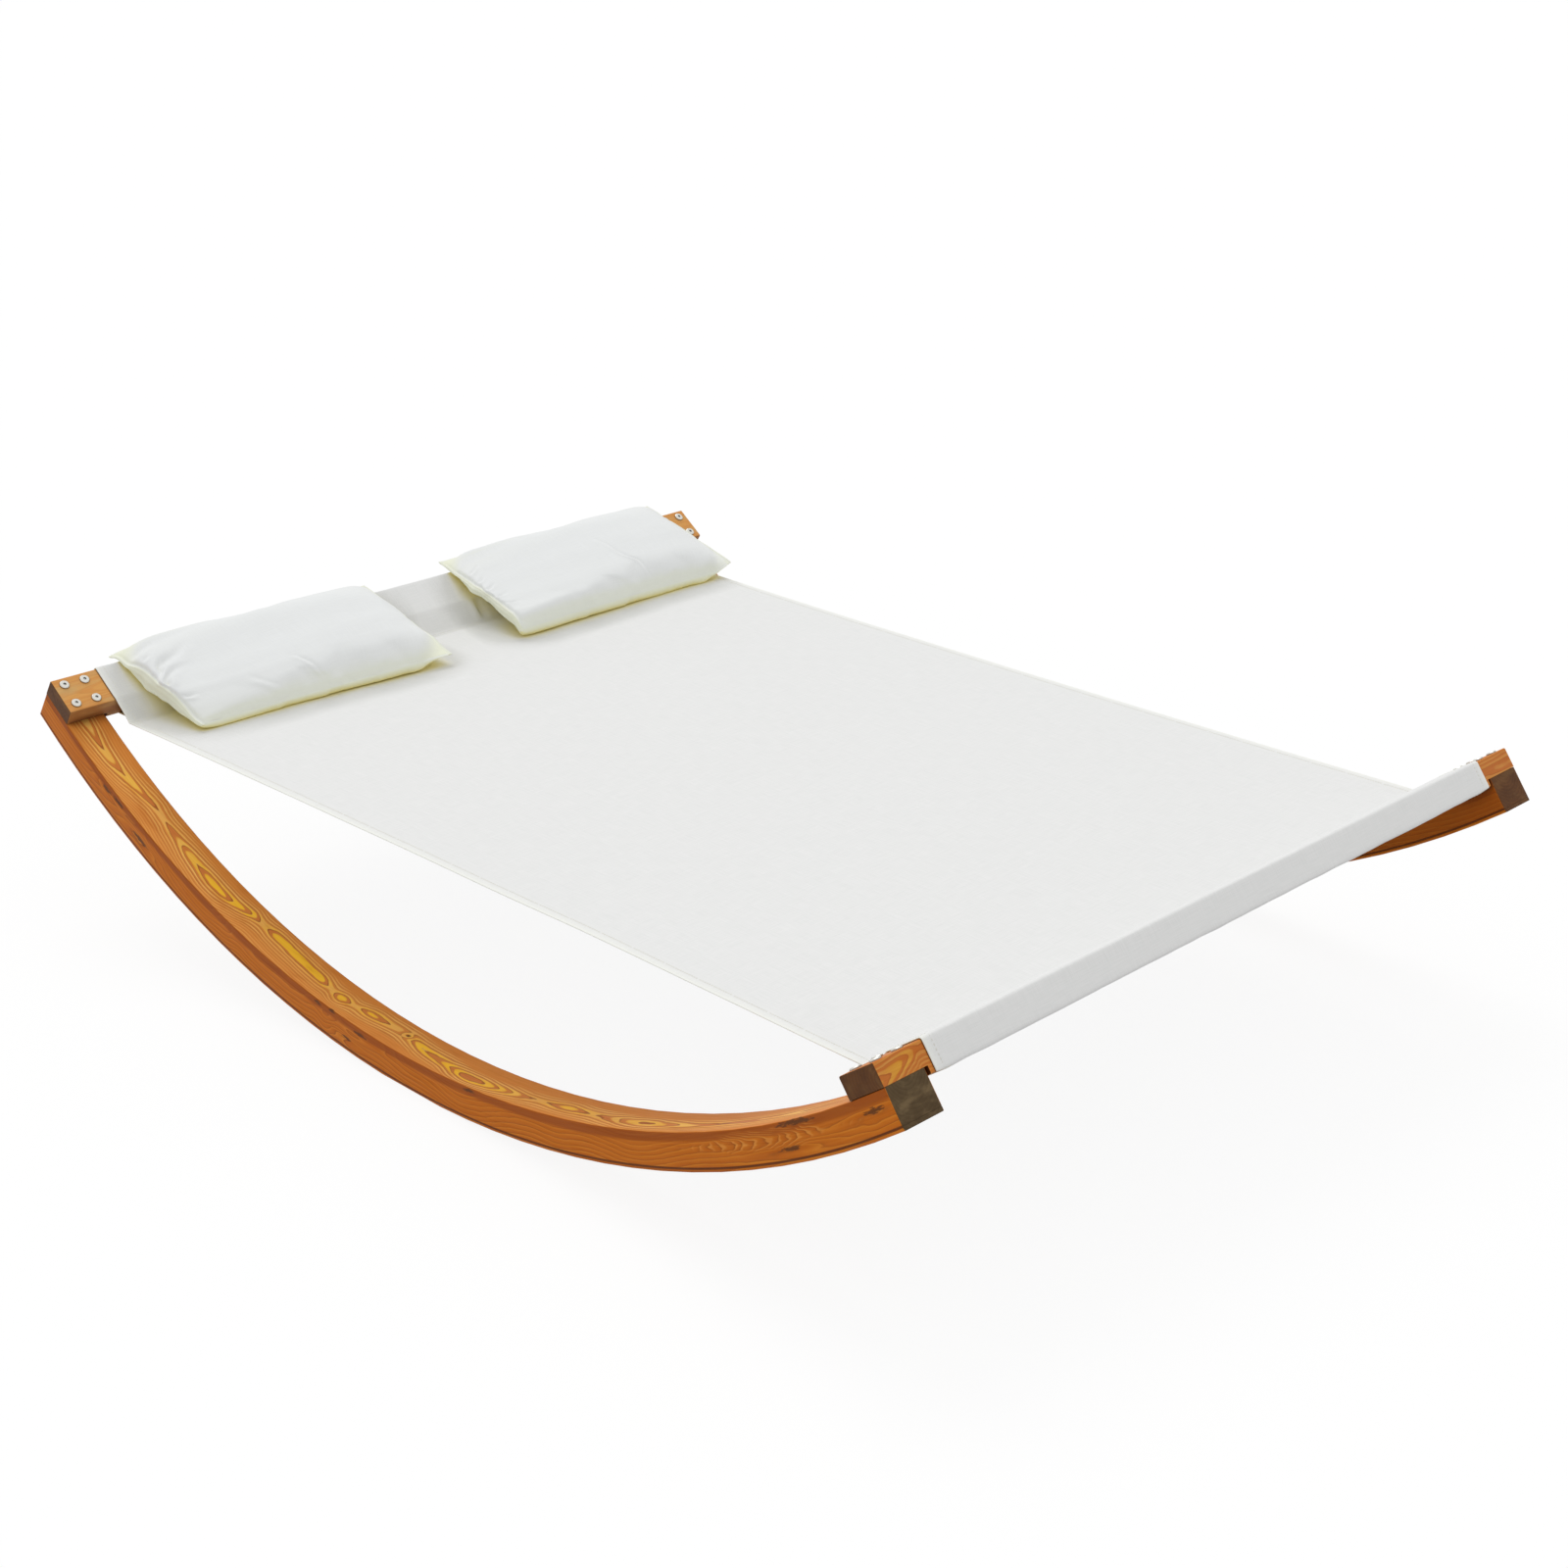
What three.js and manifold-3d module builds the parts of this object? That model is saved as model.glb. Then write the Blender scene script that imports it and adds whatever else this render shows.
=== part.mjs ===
// Double rocking hammock bed: two laminated rockers, two cross beams, a canvas sling and two pillows.
// Millimetres, +Z up. Head end at -X, foot end at +X, the lying person's right side at -Y.
// The origin is on the floor under the middle of the rockers.

import * as THREE from 'three';
import { mergeVertices } from 'three/addons/utils/BufferGeometryUtils.js';
import Module from 'manifold-3d';

const wasm = await Module();
wasm.setup();

const degree = Math.PI / 180;
const roundSides = 16;             // facets round a bolt or a drilled hole
const insertSides = 12;
const cutReach = 40;               // how far cutting solids run past what they cut
const weldTolerance = 1e-4;

// Rockers
const overallWidth = 1400;         // outer side of one rocker to the other
const rockerInnerRadius = 1567;    // concave upper face
const rockerDepth = 56;            // radial, upper face to underside
const rockerWidth = 70;
const seatAngle = 36.1 * degree;   // from the bottom to the middle of a beam seat
const restFlat = 140;              // flat in the middle of the underside, where the empty bed stands still
const sideFacets = 16;             // of the underside, each side of that flat
const soleThickness = 6;           // lowest lamella, the one that meets the floor
const glueLine = 0.3;
const arris = 2.5;                 // eased edges of all timber
const arrisSegments = 2;

// Cross beams
const beamWidth = 69;
const beamDepth = 43;
const notchDepth = 11;             // lap over the rocker
const notchPlay = 5;               // between the notch's shoulder and the rocker
const seatGap = 0.3;               // between pieces that rest on each other

// Fasteners
const boltPitchAcross = 40;        // across the beam
const boltPitchAlong = 37;         // along the beam
const boltEndDistance = 18;        // first row to the beam's end
const boltHeadDiameter = 16;
const boltHeadHeight = 2.6;
const boltHeadEdge = 1.6;          // height of the head's rim below its rounded edge
const boltHeadRounding = 1.2;
const boltDiameter = 8;
const boltEngagement = 17;         // length of the shank below the seat
const socketAcrossFlats = 5;
const socketDepth = 1.8;
const boltHolePlay = 0.5;
const insertDiameter = 12;
const insertLength = 18;
const insertCollarDiameter = 14.5;
const insertCollarHeight = 1.5;
const insertSink = 0.6;            // below the seat
const insertBorePlay = 0.3;
const insertHolePlay = 0.3;
const insertHoleSpare = 4;         // drilled deeper than the insert

// Sling
const fabricThickness = 2;
const sleeveMargin = 83;           // sleeve's end to the beam's end
const sleevePlay = 0.4;            // between the sleeve and the beam
const bedBow = 9;                  // how far each free edge is drawn in halfway
const seamReach = 54;              // beam's lower inner corner to the sleeve's stitch line
const seamRise = 0.5;              // stitch line above that corner
const seamRadius = 0.4;
const sleeveCornerStep = 25 * degree;
const bedCurveSteps = 14;

// Pillows
const pillowLength = 515;
const pillowWidth = 255;
const pillowCrown = 66;            // above the seam
const pillowBelly = 42;            // below the seam
const pillowEdge = 3;              // half the thickness of the seamed edge
const pillowPullLong = 0.035;      // how far the long sides are drawn in
const pillowPullShort = 0.03;
const pillowFullness = 0.52;       // exponent of the swelling, smaller is fuller
const pillowOverhang = 22;         // head edge past the beam's upper outer corner
const pillowLip = 8;               // seam above that corner
const pillowFootRise = 5;          // foot edge's seam above the bed
const pillowColumns = 16;          // faces along and across
const pillowRows = 10;
const pillowRightInset = 319;      // middle of a pillow to the sling's edge on its side
const pillowLeftInset = 245;
const pillowRightYaw = 0.5 * degree;
const pillowLeftYaw = 1 * degree;
const coverWall = 1;
const coverSeam = 5;               // cover's closed margin all round
const coverInnerEdge = 1.2;
const coverMouth = { width: 170, height: 1.6 };   // opening in the short side facing right
const fillingGap = 0.5;            // between cover and filling
const fillingWall = 2;             // thin, so that the filling weighs what loose fibre does
const fillingRim = 5;
const fillingMouth = { width: 60, height: 12 };

// Derived sizes
const rockerOuterRadius = rockerInnerRadius + rockerDepth;
const seatHalf = beamWidth / 2;
const seatDistance = Math.sqrt(rockerInnerRadius ** 2 - seatHalf ** 2);
const innerArcAngle = seatAngle - Math.asin(seatHalf / rockerInnerRadius);
const innerEndAngle = seatAngle + Math.asin(seatHalf / rockerInnerRadius);
const outerEndAngle = seatAngle + Math.asin(seatHalf / rockerOuterRadius);
const restAngle = Math.asin(restFlat / 2 / rockerOuterRadius);
const facetAngle = (outerEndAngle - restAngle) / sideFacets;
const arcCentreZ = rockerOuterRadius * Math.cos(restAngle);
const rockerCentreY = (overallWidth - rockerWidth) / 2;
const sleeveWidth = overallWidth - 2 * sleeveMargin;
const pillowRightY = pillowRightInset - sleeveWidth / 2;
const pillowLeftY = sleeveWidth / 2 - pillowLeftInset;
const beamUndersideZ = seatGap - notchDepth;
const beamTopZ = beamUndersideZ + beamDepth;
const boltRows = [boltEndDistance, boltEndDistance + boltPitchAlong];
const shankEndZ = -(beamTopZ + seatGap + boltEngagement);   // from the underside of the head

// Colours
const timber = { color: 0xb8702c, roughness: 0.55, metalness: 0 };
const timberSole = { color: 0xa8602a, roughness: 0.6, metalness: 0 };
const canvas = { color: 0xe9ebea, roughness: 0.95, metalness: 0 };
const cotton = { color: 0xf2f3f1, roughness: 0.95, metalness: 0 };
const wadding = { color: 0xfafafa, roughness: 1, metalness: 0 };
const zinc = { color: 0xd8d8d4, roughness: 0.35, metalness: 1 };
const brass = { color: 0xb99a52, roughness: 0.4, metalness: 1 };

const hammock = new THREE.Group();

// Solids and meshes

function solidFrom(geometry) {
  const bare = geometry.clone();
  bare.deleteAttribute('normal');
  bare.deleteAttribute('uv');
  const merged = mergeVertices(bare, weldTolerance);
  const vertProperties = new Float32Array(merged.attributes.position.array);
  const triVerts = new Uint32Array(merged.index.array);
  return new wasm.Manifold(new wasm.Mesh({ numProp: 3, vertProperties, triVerts }));
}

function geometryFrom(solid) {
  const mesh = solid.getMesh();
  const geometry = new THREE.BufferGeometry();
  geometry.setAttribute('position', new THREE.BufferAttribute(new Float32Array(mesh.vertProperties), 3));
  geometry.setIndex(new THREE.BufferAttribute(new Uint32Array(mesh.triVerts), 1));
  geometry.computeVertexNormals();
  return geometry;
}

function addMesh(parent, name, geometry, finish) {
  const mesh = new THREE.Mesh(geometry, new THREE.MeshStandardMaterial(finish));
  mesh.name = name;
  parent.add(mesh);
  return mesh;
}

// An outline in the XZ plane, extruded along Y and centred on y = 0.
function extrudeAlongY(outline, width, easing = 0) {
  const geometry = new THREE.ExtrudeGeometry(new THREE.Shape(outline), {
    depth: width - 2 * easing,
    bevelEnabled: easing > 0,
    bevelThickness: easing,
    bevelSize: easing,
    bevelOffset: -easing,
    bevelSegments: arrisSegments,
    curveSegments: 4,
  });
  geometry.translate(0, 0, easing - width / 2);
  geometry.rotateX(Math.PI / 2);
  return geometry;
}

function boxBetween(low, high) {
  const size = new THREE.Vector3().subVectors(high, low);
  const centre = new THREE.Vector3().addVectors(low, high).multiplyScalar(0.5);
  return new THREE.BoxGeometry(size.x, size.y, size.z).translate(centre.x, centre.y, centre.z);
}

function cylinderAlongZ(diameter, bottom, top, sides = roundSides) {
  const cylinder = new THREE.CylinderGeometry(diameter / 2, diameter / 2, top - bottom, sides);
  cylinder.rotateX(Math.PI / 2);
  cylinder.translate(0, 0, (top + bottom) / 2);
  return cylinder;
}

// The frame of one beam seat: x points up and outward along the seat, z away from the rocker.
// end is 1 at the foot and -1 at the head, where y is turned round as well.
function seatFrame(end) {
  const frame = new THREE.Object3D();
  frame.position.set(end * seatDistance * Math.sin(seatAngle), 0, arcCentreZ - seatDistance * Math.cos(seatAngle));
  frame.rotation.set(0, -end * seatAngle, end > 0 ? 0 : Math.PI);
  frame.updateMatrix();
  return frame;
}

const seats = { head: seatFrame(-1), foot: seatFrame(1) };
const endSigns = { head: -1, foot: 1 };
const sideSigns = { right: -1, left: 1 };

function seatGroup(endName) {
  const group = new THREE.Group();
  group.applyMatrix4(seats[endName].matrix);
  hammock.add(group);
  return group;
}

// Centres of the four bolts of a corner, in the seat's frame.
function boltCentres(endName, sideName) {
  const outward = endSigns[endName] * sideSigns[sideName];
  const centres = [];
  for (const row of boltRows) {
    for (const across of [boltPitchAcross / 2, -boltPitchAcross / 2]) {
      centres.push(new THREE.Vector3(across, outward * (overallWidth / 2 - row), 0));
    }
  }
  return centres;
}

// Rockers

function arcPoint(radius, angle) {
  return new THREE.Vector2(radius * Math.sin(angle), arcCentreZ - radius * Math.cos(angle));
}

function arcPoints(radius, fromAngle, toAngle, facets) {
  const points = [];
  for (let i = 0; i <= facets; i += 1) {
    points.push(arcPoint(radius, fromAngle + (toAngle - fromAngle) * i / facets));
  }
  return points;
}

// The underside's points at a radius, with the resting flat in the middle, from head to foot.
function undersidePoints(radius, extraFacets) {
  const facets = sideFacets + extraFacets;
  const reach = restAngle + facets * facetAngle;
  const headHalf = arcPoints(radius, -reach, -restAngle, facets);
  const footHalf = arcPoints(radius, restAngle, reach, facets);
  return [...headHalf, ...footHalf];
}

// Concave upper face with a flat seat at each end, convex underside, ends cut square to the seats.
function rockerOutline() {
  const underside = undersidePoints(rockerOuterRadius, 0);
  const upper = arcPoints(rockerInnerRadius, innerArcAngle, -innerArcAngle, 2 * sideFacets);
  const footCorner = arcPoint(rockerInnerRadius, innerEndAngle);
  const headCorner = arcPoint(rockerInnerRadius, -innerEndAngle);
  return [...underside, footCorner, ...upper, headCorner];
}

// Everything outside a radius, on the same facets as the underside.
function outsideOf(radius) {
  const near = undersidePoints(radius, 1);
  const far = undersidePoints(rockerOuterRadius + cutReach, 1).reverse();
  return solidFrom(extrudeAlongY([...far, ...near], rockerWidth + cutReach));
}

// Blind holes for the threaded inserts, with a counterbore for the collar.
function insertHoles(sideName) {
  const holes = [];
  for (const endName of ['head', 'foot']) {
    for (const centre of boltCentres(endName, sideName)) {
      const bottom = -(insertSink + insertLength + insertHoleSpare);
      const bore = cylinderAlongZ(insertDiameter + 2 * insertHolePlay, bottom, cutReach);
      const collarBottom = -(insertSink + insertCollarHeight + insertHolePlay);
      const collar = cylinderAlongZ(insertCollarDiameter + 2 * insertHolePlay, collarBottom, cutReach);
      for (const cutter of [bore, collar]) {
        cutter.translate(centre.x, centre.y, 0);
        cutter.applyMatrix4(seats[endName].matrix);
        holes.push(solidFrom(cutter));
      }
    }
  }
  return wasm.Manifold.union(holes);
}

function addRocker(sideName) {
  const rocker = solidFrom(extrudeAlongY(rockerOutline(), rockerWidth, arris));
  const soleRadius = rockerOuterRadius - soleThickness;
  const sole = rocker.intersect(outsideOf(soleRadius));
  const centreY = sideSigns[sideName] * rockerCentreY;
  const body = rocker.subtract(outsideOf(soleRadius - glueLine)).translate([0, centreY, 0]);
  const drilled = body.subtract(insertHoles(sideName));
  addMesh(hammock, `rocker_${sideName}`, geometryFrom(drilled), timber);
  addMesh(hammock, `rocker_sole_${sideName}`, geometryFrom(sole), timberSole).position.y = centreY;
}

// Cross beams

function roundedRectangle(halfWidth, bottom, top, radius) {
  const shape = new THREE.Shape();
  shape.absarc(halfWidth - radius, bottom + radius, radius, -Math.PI / 2, 0);
  shape.absarc(halfWidth - radius, top - radius, radius, 0, Math.PI / 2);
  shape.absarc(radius - halfWidth, top - radius, radius, Math.PI / 2, Math.PI);
  shape.absarc(radius - halfWidth, bottom + radius, radius, Math.PI, 1.5 * Math.PI);
  return shape.getPoints(arrisSegments);
}

function addBeam(endName) {
  const outline = roundedRectangle(beamWidth / 2, beamUndersideZ, beamTopZ, arris);
  let beam = solidFrom(extrudeAlongY(outline, overallWidth, arris / 2));
  const notchLength = rockerWidth + notchPlay;
  for (const side of [-1, 1]) {
    const outer = side * (overallWidth / 2 + cutReach);
    const inner = side * (overallWidth / 2 - notchLength);
    const low = new THREE.Vector3(-beamWidth, Math.min(outer, inner), beamUndersideZ - cutReach);
    const high = new THREE.Vector3(beamWidth, Math.max(outer, inner), seatGap);
    beam = beam.subtract(solidFrom(boxBetween(low, high)));
  }
  for (const sideName of ['right', 'left']) {
    for (const centre of boltCentres(endName, sideName)) {
      const hole = cylinderAlongZ(boltDiameter + 2 * boltHolePlay, beamUndersideZ - cutReach, beamTopZ + cutReach);
      hole.translate(centre.x, centre.y, 0);
      beam = beam.subtract(solidFrom(hole));
    }
  }
  addMesh(seatGroup(endName), `${endName}_beam`, geometryFrom(beam), timber);
}

// Bolts with a flat head and a hexagon socket, and the threaded inserts that take them

function boltGeometry() {
  const headRadius = boltHeadDiameter / 2;
  const top = boltHeadHeight;
  const profile = [
    new THREE.Vector2(0, shankEndZ),
    new THREE.Vector2(boltDiameter / 2, shankEndZ),
    new THREE.Vector2(boltDiameter / 2, 0),
    new THREE.Vector2(headRadius, 0),
    new THREE.Vector2(headRadius, boltHeadEdge),
    new THREE.Vector2(headRadius - boltHeadRounding, top),
    new THREE.Vector2(0, top),
  ];
  const turned = new THREE.LatheGeometry(profile, roundSides).rotateX(Math.PI / 2);
  const socketDiameter = socketAcrossFlats / Math.cos(Math.PI / 6);
  const socket = cylinderAlongZ(socketDiameter, top - socketDepth, top + cutReach, 6);
  return geometryFrom(solidFrom(turned).subtract(solidFrom(socket)));
}

function insertGeometry() {
  const bore = boltDiameter / 2 + insertBorePlay;
  const bottom = -insertLength;
  const profile = [
    new THREE.Vector2(bore, 0),
    new THREE.Vector2(bore, bottom),
    new THREE.Vector2(insertDiameter / 2, bottom),
    new THREE.Vector2(insertDiameter / 2, -insertCollarHeight),
    new THREE.Vector2(insertCollarDiameter / 2, -insertCollarHeight),
    new THREE.Vector2(insertCollarDiameter / 2, 0),
    new THREE.Vector2(bore, 0),
  ];
  return new THREE.LatheGeometry(profile, insertSides).rotateX(Math.PI / 2);
}

function addFasteners(endName, sideName) {
  const group = seatGroup(endName);
  boltCentres(endName, sideName).forEach((centre, index) => {
    const label = `${endName}_${sideName}_${index + 1}`;
    const bolt = addMesh(group, `bolt_${label}`, boltGeometry(), zinc);
    bolt.position.set(centre.x, centre.y, beamTopZ + seatGap);
    const insert = addMesh(group, `insert_${label}`, insertGeometry(), brass);
    insert.position.set(centre.x, centre.y, -insertSink);
  });
}

// Sling

// Outline of a belt drawn tight round circles of different radii, going round them anticlockwise.
function beltOutline(circles, extra) {
  const middle = new THREE.Vector2();
  circles.forEach((circle) => middle.add(circle.centre));
  middle.divideScalar(circles.length);
  const bearing = (circle) => Math.atan2(circle.centre.y - middle.y, circle.centre.x - middle.x);
  const ring = [...circles].sort((a, b) => bearing(a) - bearing(b));
  const normals = ring.map((circle, i) => {
    const next = ring[(i + 1) % ring.length];
    const run = new THREE.Vector2().subVectors(next.centre, circle.centre);
    return run.angle() - Math.acos((circle.radius - next.radius) / run.length());
  });
  const points = [];
  ring.forEach((circle, i) => {
    const from = normals[(i + ring.length - 1) % ring.length];
    const turn = (normals[i] - from + 4 * Math.PI) % (2 * Math.PI);
    const steps = Math.max(1, Math.ceil(turn / sleeveCornerStep));
    for (let k = 0; k <= steps; k += 1) {
      const angle = from + turn * k / steps;
      const radius = circle.radius + extra;
      points.push(new THREE.Vector2(circle.centre.x + radius * Math.cos(angle),
        circle.centre.y + radius * Math.sin(angle)));
    }
  });
  return points;
}

function inWorld(endName, x, z) {
  const point = new THREE.Vector3(x, 0, z).applyMatrix4(seats[endName].matrix);
  return new THREE.Vector2(point.x, point.z);
}

// The stitch line that closes a sleeve, on the bed side of the beam.
function seamPoint(endName) {
  const corner = inWorld(endName, -beamWidth / 2, beamUndersideZ);
  return new THREE.Vector2(corner.x - endSigns[endName] * seamReach, corner.y + seamRise);
}

// What a sleeve is drawn round: the beam's four eased corners and the stitch line.
function sleeveCircles(endName) {
  const across = beamWidth / 2 - arris;
  const circles = [];
  for (const x of [-across, across]) {
    for (const z of [beamUndersideZ + arris, beamTopZ - arris]) {
      circles.push({ centre: inWorld(endName, x, z), radius: arris });
    }
  }
  circles.push({ centre: seamPoint(endName), radius: seamRadius });
  return circles;
}

const bedZ = seamPoint('foot').y;
const bedHalfLength = seamPoint('foot').x;
const bedTopZ = bedZ + fabricThickness / 2;

function bedSolid() {
  const halfWidth = sleeveWidth / 2;
  const shape = new THREE.Shape();
  shape.moveTo(-bedHalfLength, -halfWidth);
  shape.quadraticCurveTo(0, 2 * bedBow - halfWidth, bedHalfLength, -halfWidth);
  shape.lineTo(bedHalfLength, halfWidth);
  shape.quadraticCurveTo(0, halfWidth - 2 * bedBow, -bedHalfLength, halfWidth);
  const slab = new THREE.ExtrudeGeometry(shape, { depth: fabricThickness, bevelEnabled: false, curveSegments: bedCurveSteps });
  return solidFrom(slab.translate(0, 0, bedZ - fabricThickness / 2));
}

function addSling() {
  let sling = bedSolid();
  for (const endName of ['head', 'foot']) {
    const outline = beltOutline(sleeveCircles(endName), sleevePlay + fabricThickness);
    sling = sling.add(solidFrom(extrudeAlongY(outline, sleeveWidth)));
  }
  for (const endName of ['head', 'foot']) {
    const tunnel = beltOutline(sleeveCircles(endName), sleevePlay);
    sling = sling.subtract(solidFrom(extrudeAlongY(tunnel, sleeveWidth + 2 * cutReach)));
  }
  addMesh(hammock, 'sling', geometryFrom(sling), canvas);
}

// Pillows

// A crowned pillow with a thin seamed edge, pointed corners and drawn-in sides, x across and y along.
function pillowForm(margin, thinner, edge) {
  const columns = pillowColumns;
  const rows = pillowRows;
  const halfWidth = pillowWidth / 2 - margin;
  const halfLength = pillowLength / 2 - margin;
  const positions = [];
  const indices = [];
  const cellAt = (i, j) => i * (rows + 1) + j;
  for (const face of [1, -1]) {
    const swell = (face > 0 ? pillowCrown : pillowBelly) - thinner;
    for (let i = 0; i <= columns; i += 1) {
      for (let j = 0; j <= rows; j += 1) {
        const s = -Math.cos(Math.PI * i / columns);
        const t = -Math.cos(Math.PI * j / rows);
        const x = halfWidth * t * (1 - pillowPullLong * (1 - s * s));
        const y = halfLength * s * (1 - pillowPullShort * (1 - t * t));
        const rise = Math.max(0, (1 - s * s) * (1 - t * t)) ** pillowFullness;
        positions.push(x, y, face * (edge + swell * rise));
      }
    }
  }
  const lowerStart = (columns + 1) * (rows + 1);
  for (let i = 0; i < columns; i += 1) {
    for (let j = 0; j < rows; j += 1) {
      const a = cellAt(i, j);
      const b = cellAt(i, j + 1);
      const c = cellAt(i + 1, j);
      const d = cellAt(i + 1, j + 1);
      indices.push(a, b, d, a, d, c);
      indices.push(lowerStart + a, lowerStart + d, lowerStart + b, lowerStart + a, lowerStart + c, lowerStart + d);
    }
  }
  const rim = [];
  for (let j = 0; j < rows; j += 1) rim.push(cellAt(0, j));
  for (let i = 0; i < columns; i += 1) rim.push(cellAt(i, rows));
  for (let j = rows; j > 0; j -= 1) rim.push(cellAt(columns, j));
  for (let i = columns; i > 0; i -= 1) rim.push(cellAt(i, 0));
  rim.forEach((upper, k) => {
    const next = rim[(k + 1) % rim.length];
    indices.push(upper, lowerStart + upper, lowerStart + next, upper, lowerStart + next, next);
  });
  const geometry = new THREE.BufferGeometry();
  geometry.setAttribute('position', new THREE.Float32BufferAttribute(positions, 3));
  geometry.setIndex(indices);
  return geometry;
}

// Where a pillow lies: its foot edge on the bed, its head edge just past the head beam's upper corner.
function pillowPlace(centreY, yaw) {
  const corner = inWorld('head', beamWidth / 2 - arris, beamTopZ);
  const cornerZ = corner.y + sleevePlay + fabricThickness;
  const onBed = pillowWidth - pillowOverhang;
  const tilt = Math.asin((cornerZ + pillowLip - bedTopZ - pillowFootRise) / onBed);
  const backToMiddle = pillowWidth / 2 - pillowOverhang;
  const place = new THREE.Object3D();
  place.position.set(corner.x + backToMiddle * Math.cos(tilt), centreY,
    cornerZ + pillowLip - backToMiddle * Math.sin(tilt));
  place.rotation.set(0, tilt, yaw, 'ZYX');
  place.updateMatrix();
  return place.matrix;
}

// Everything at and below the sling's upper face, kept a clearance away from it.
function restingGround(clearance) {
  const sleeve = beltOutline(sleeveCircles('head'), sleevePlay + fabricThickness + clearance);
  const low = new THREE.Vector3(-2 * bedHalfLength, -overallWidth, -cutReach);
  const high = new THREE.Vector3(0, overallWidth, bedTopZ + clearance);
  const bed = solidFrom(boxBetween(low, high));
  return solidFrom(extrudeAlongY(sleeve, 2 * overallWidth)).add(bed);
}

// Cuts an opening through the seamed edge of the pillow's right-hand short side, where it is drawn in.
function mouthCutter(place, mouth, inward) {
  const end = -(1 - pillowPullShort) * pillowLength / 2;
  const low = new THREE.Vector3(-mouth.width / 2, end - cutReach, -mouth.height / 2);
  const high = new THREE.Vector3(mouth.width / 2, end + inward, mouth.height / 2);
  return solidFrom(boxBetween(low, high).applyMatrix4(place));
}

function addPillow(sideName, centreY, yaw) {
  const place = pillowPlace(centreY, yaw);
  const pressed = (margin, thinner, edge, clearance) =>
    solidFrom(pillowForm(margin, thinner, edge).applyMatrix4(place)).subtract(restingGround(clearance));
  const toFilling = coverSeam + fillingGap;
  const aboveFilling = coverWall + fillingGap;
  const outside = pressed(0, 0, pillowEdge, seatGap);
  const inside = pressed(coverSeam, coverWall, coverInnerEdge, seatGap + coverWall);
  const fibre = pressed(toFilling, aboveFilling, coverInnerEdge - fillingGap / 2, seatGap + aboveFilling);
  const hollow = pressed(toFilling + fillingRim, aboveFilling + fillingWall, fillingGap,
    seatGap + aboveFilling + fillingWall);
  const cover = outside.subtract(inside).subtract(mouthCutter(place, coverMouth, 2 * coverSeam));
  const filling = fibre.subtract(hollow).subtract(mouthCutter(place, fillingMouth, toFilling + 2 * fillingRim));
  addMesh(hammock, `pillow_cover_${sideName}`, geometryFrom(cover), cotton);
  addMesh(hammock, `pillow_filling_${sideName}`, geometryFrom(filling), wadding);
}

for (const sideName of ['right', 'left']) addRocker(sideName);
for (const endName of ['head', 'foot']) {
  addBeam(endName);
  for (const sideName of ['right', 'left']) addFasteners(endName, sideName);
}
addSling();
addPillow('right', pillowRightY, pillowRightYaw);
addPillow('left', pillowLeftY, pillowLeftYaw);

export default hammock;
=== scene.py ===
import math

import bpy
import numpy as np
from mathutils import Matrix, Vector
from mathutils.noise import noise


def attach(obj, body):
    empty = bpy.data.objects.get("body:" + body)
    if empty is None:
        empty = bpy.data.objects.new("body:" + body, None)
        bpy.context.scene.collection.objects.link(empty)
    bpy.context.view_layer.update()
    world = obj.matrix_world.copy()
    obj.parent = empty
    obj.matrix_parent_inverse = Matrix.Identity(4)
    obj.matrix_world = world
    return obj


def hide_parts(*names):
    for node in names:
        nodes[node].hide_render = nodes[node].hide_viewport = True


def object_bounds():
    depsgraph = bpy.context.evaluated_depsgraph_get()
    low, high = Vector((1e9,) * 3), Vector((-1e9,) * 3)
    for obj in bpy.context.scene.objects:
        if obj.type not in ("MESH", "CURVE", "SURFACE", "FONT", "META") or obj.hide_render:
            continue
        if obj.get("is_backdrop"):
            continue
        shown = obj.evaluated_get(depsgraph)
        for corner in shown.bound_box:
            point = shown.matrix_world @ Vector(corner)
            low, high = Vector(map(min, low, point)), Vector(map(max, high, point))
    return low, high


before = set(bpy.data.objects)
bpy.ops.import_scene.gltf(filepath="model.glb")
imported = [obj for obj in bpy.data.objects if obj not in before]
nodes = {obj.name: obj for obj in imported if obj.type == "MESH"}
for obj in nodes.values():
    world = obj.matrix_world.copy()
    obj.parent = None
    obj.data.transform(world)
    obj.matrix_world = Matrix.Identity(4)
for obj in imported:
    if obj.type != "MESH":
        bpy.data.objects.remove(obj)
scene = bpy.context.scene
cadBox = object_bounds()
print("frame loaded,", len(nodes), "nodes")


# Shader trees: a Level is one node's output, and sums with Levels add the nodes that work them out

class Level:
    def __init__(self, socket):
        self.socket = socket

    def __add__(self, other):
        return calc("ADD", self, other)

    def __sub__(self, other):
        return calc("SUBTRACT", self, other)

    def __mul__(self, other):
        return calc("MULTIPLY", self, other)

    def __truediv__(self, other):
        return calc("DIVIDE", self, other)

    def __abs__(self):
        return calc("ABSOLUTE", self)


# The tree has to be given only where no input is a Level
def put(kind, inputs, output=0, tree=None, **settings):
    for value in inputs.values():
        if isinstance(value, Level):
            tree = value.socket.id_data
    node = tree.nodes.new(kind)
    for key, value in settings.items():
        setattr(node, key, value)
    for key, value in inputs.items():
        if isinstance(value, Level):
            tree.links.new(value.socket, node.inputs[key])
        else:
            node.inputs[key].default_value = value
    return Level(node.outputs[output]) if node.outputs else None


def newTree(name):
    material = bpy.data.materials.new(name)
    material.use_nodes = True
    material.node_tree.nodes.clear()
    return material, material.node_tree


def calc(operation, first, second=0.0, third=0.0, clamp=False):
    return put("ShaderNodeMath", {0: first, 1: second, 2: third}, operation=operation, use_clamp=clamp)


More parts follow.
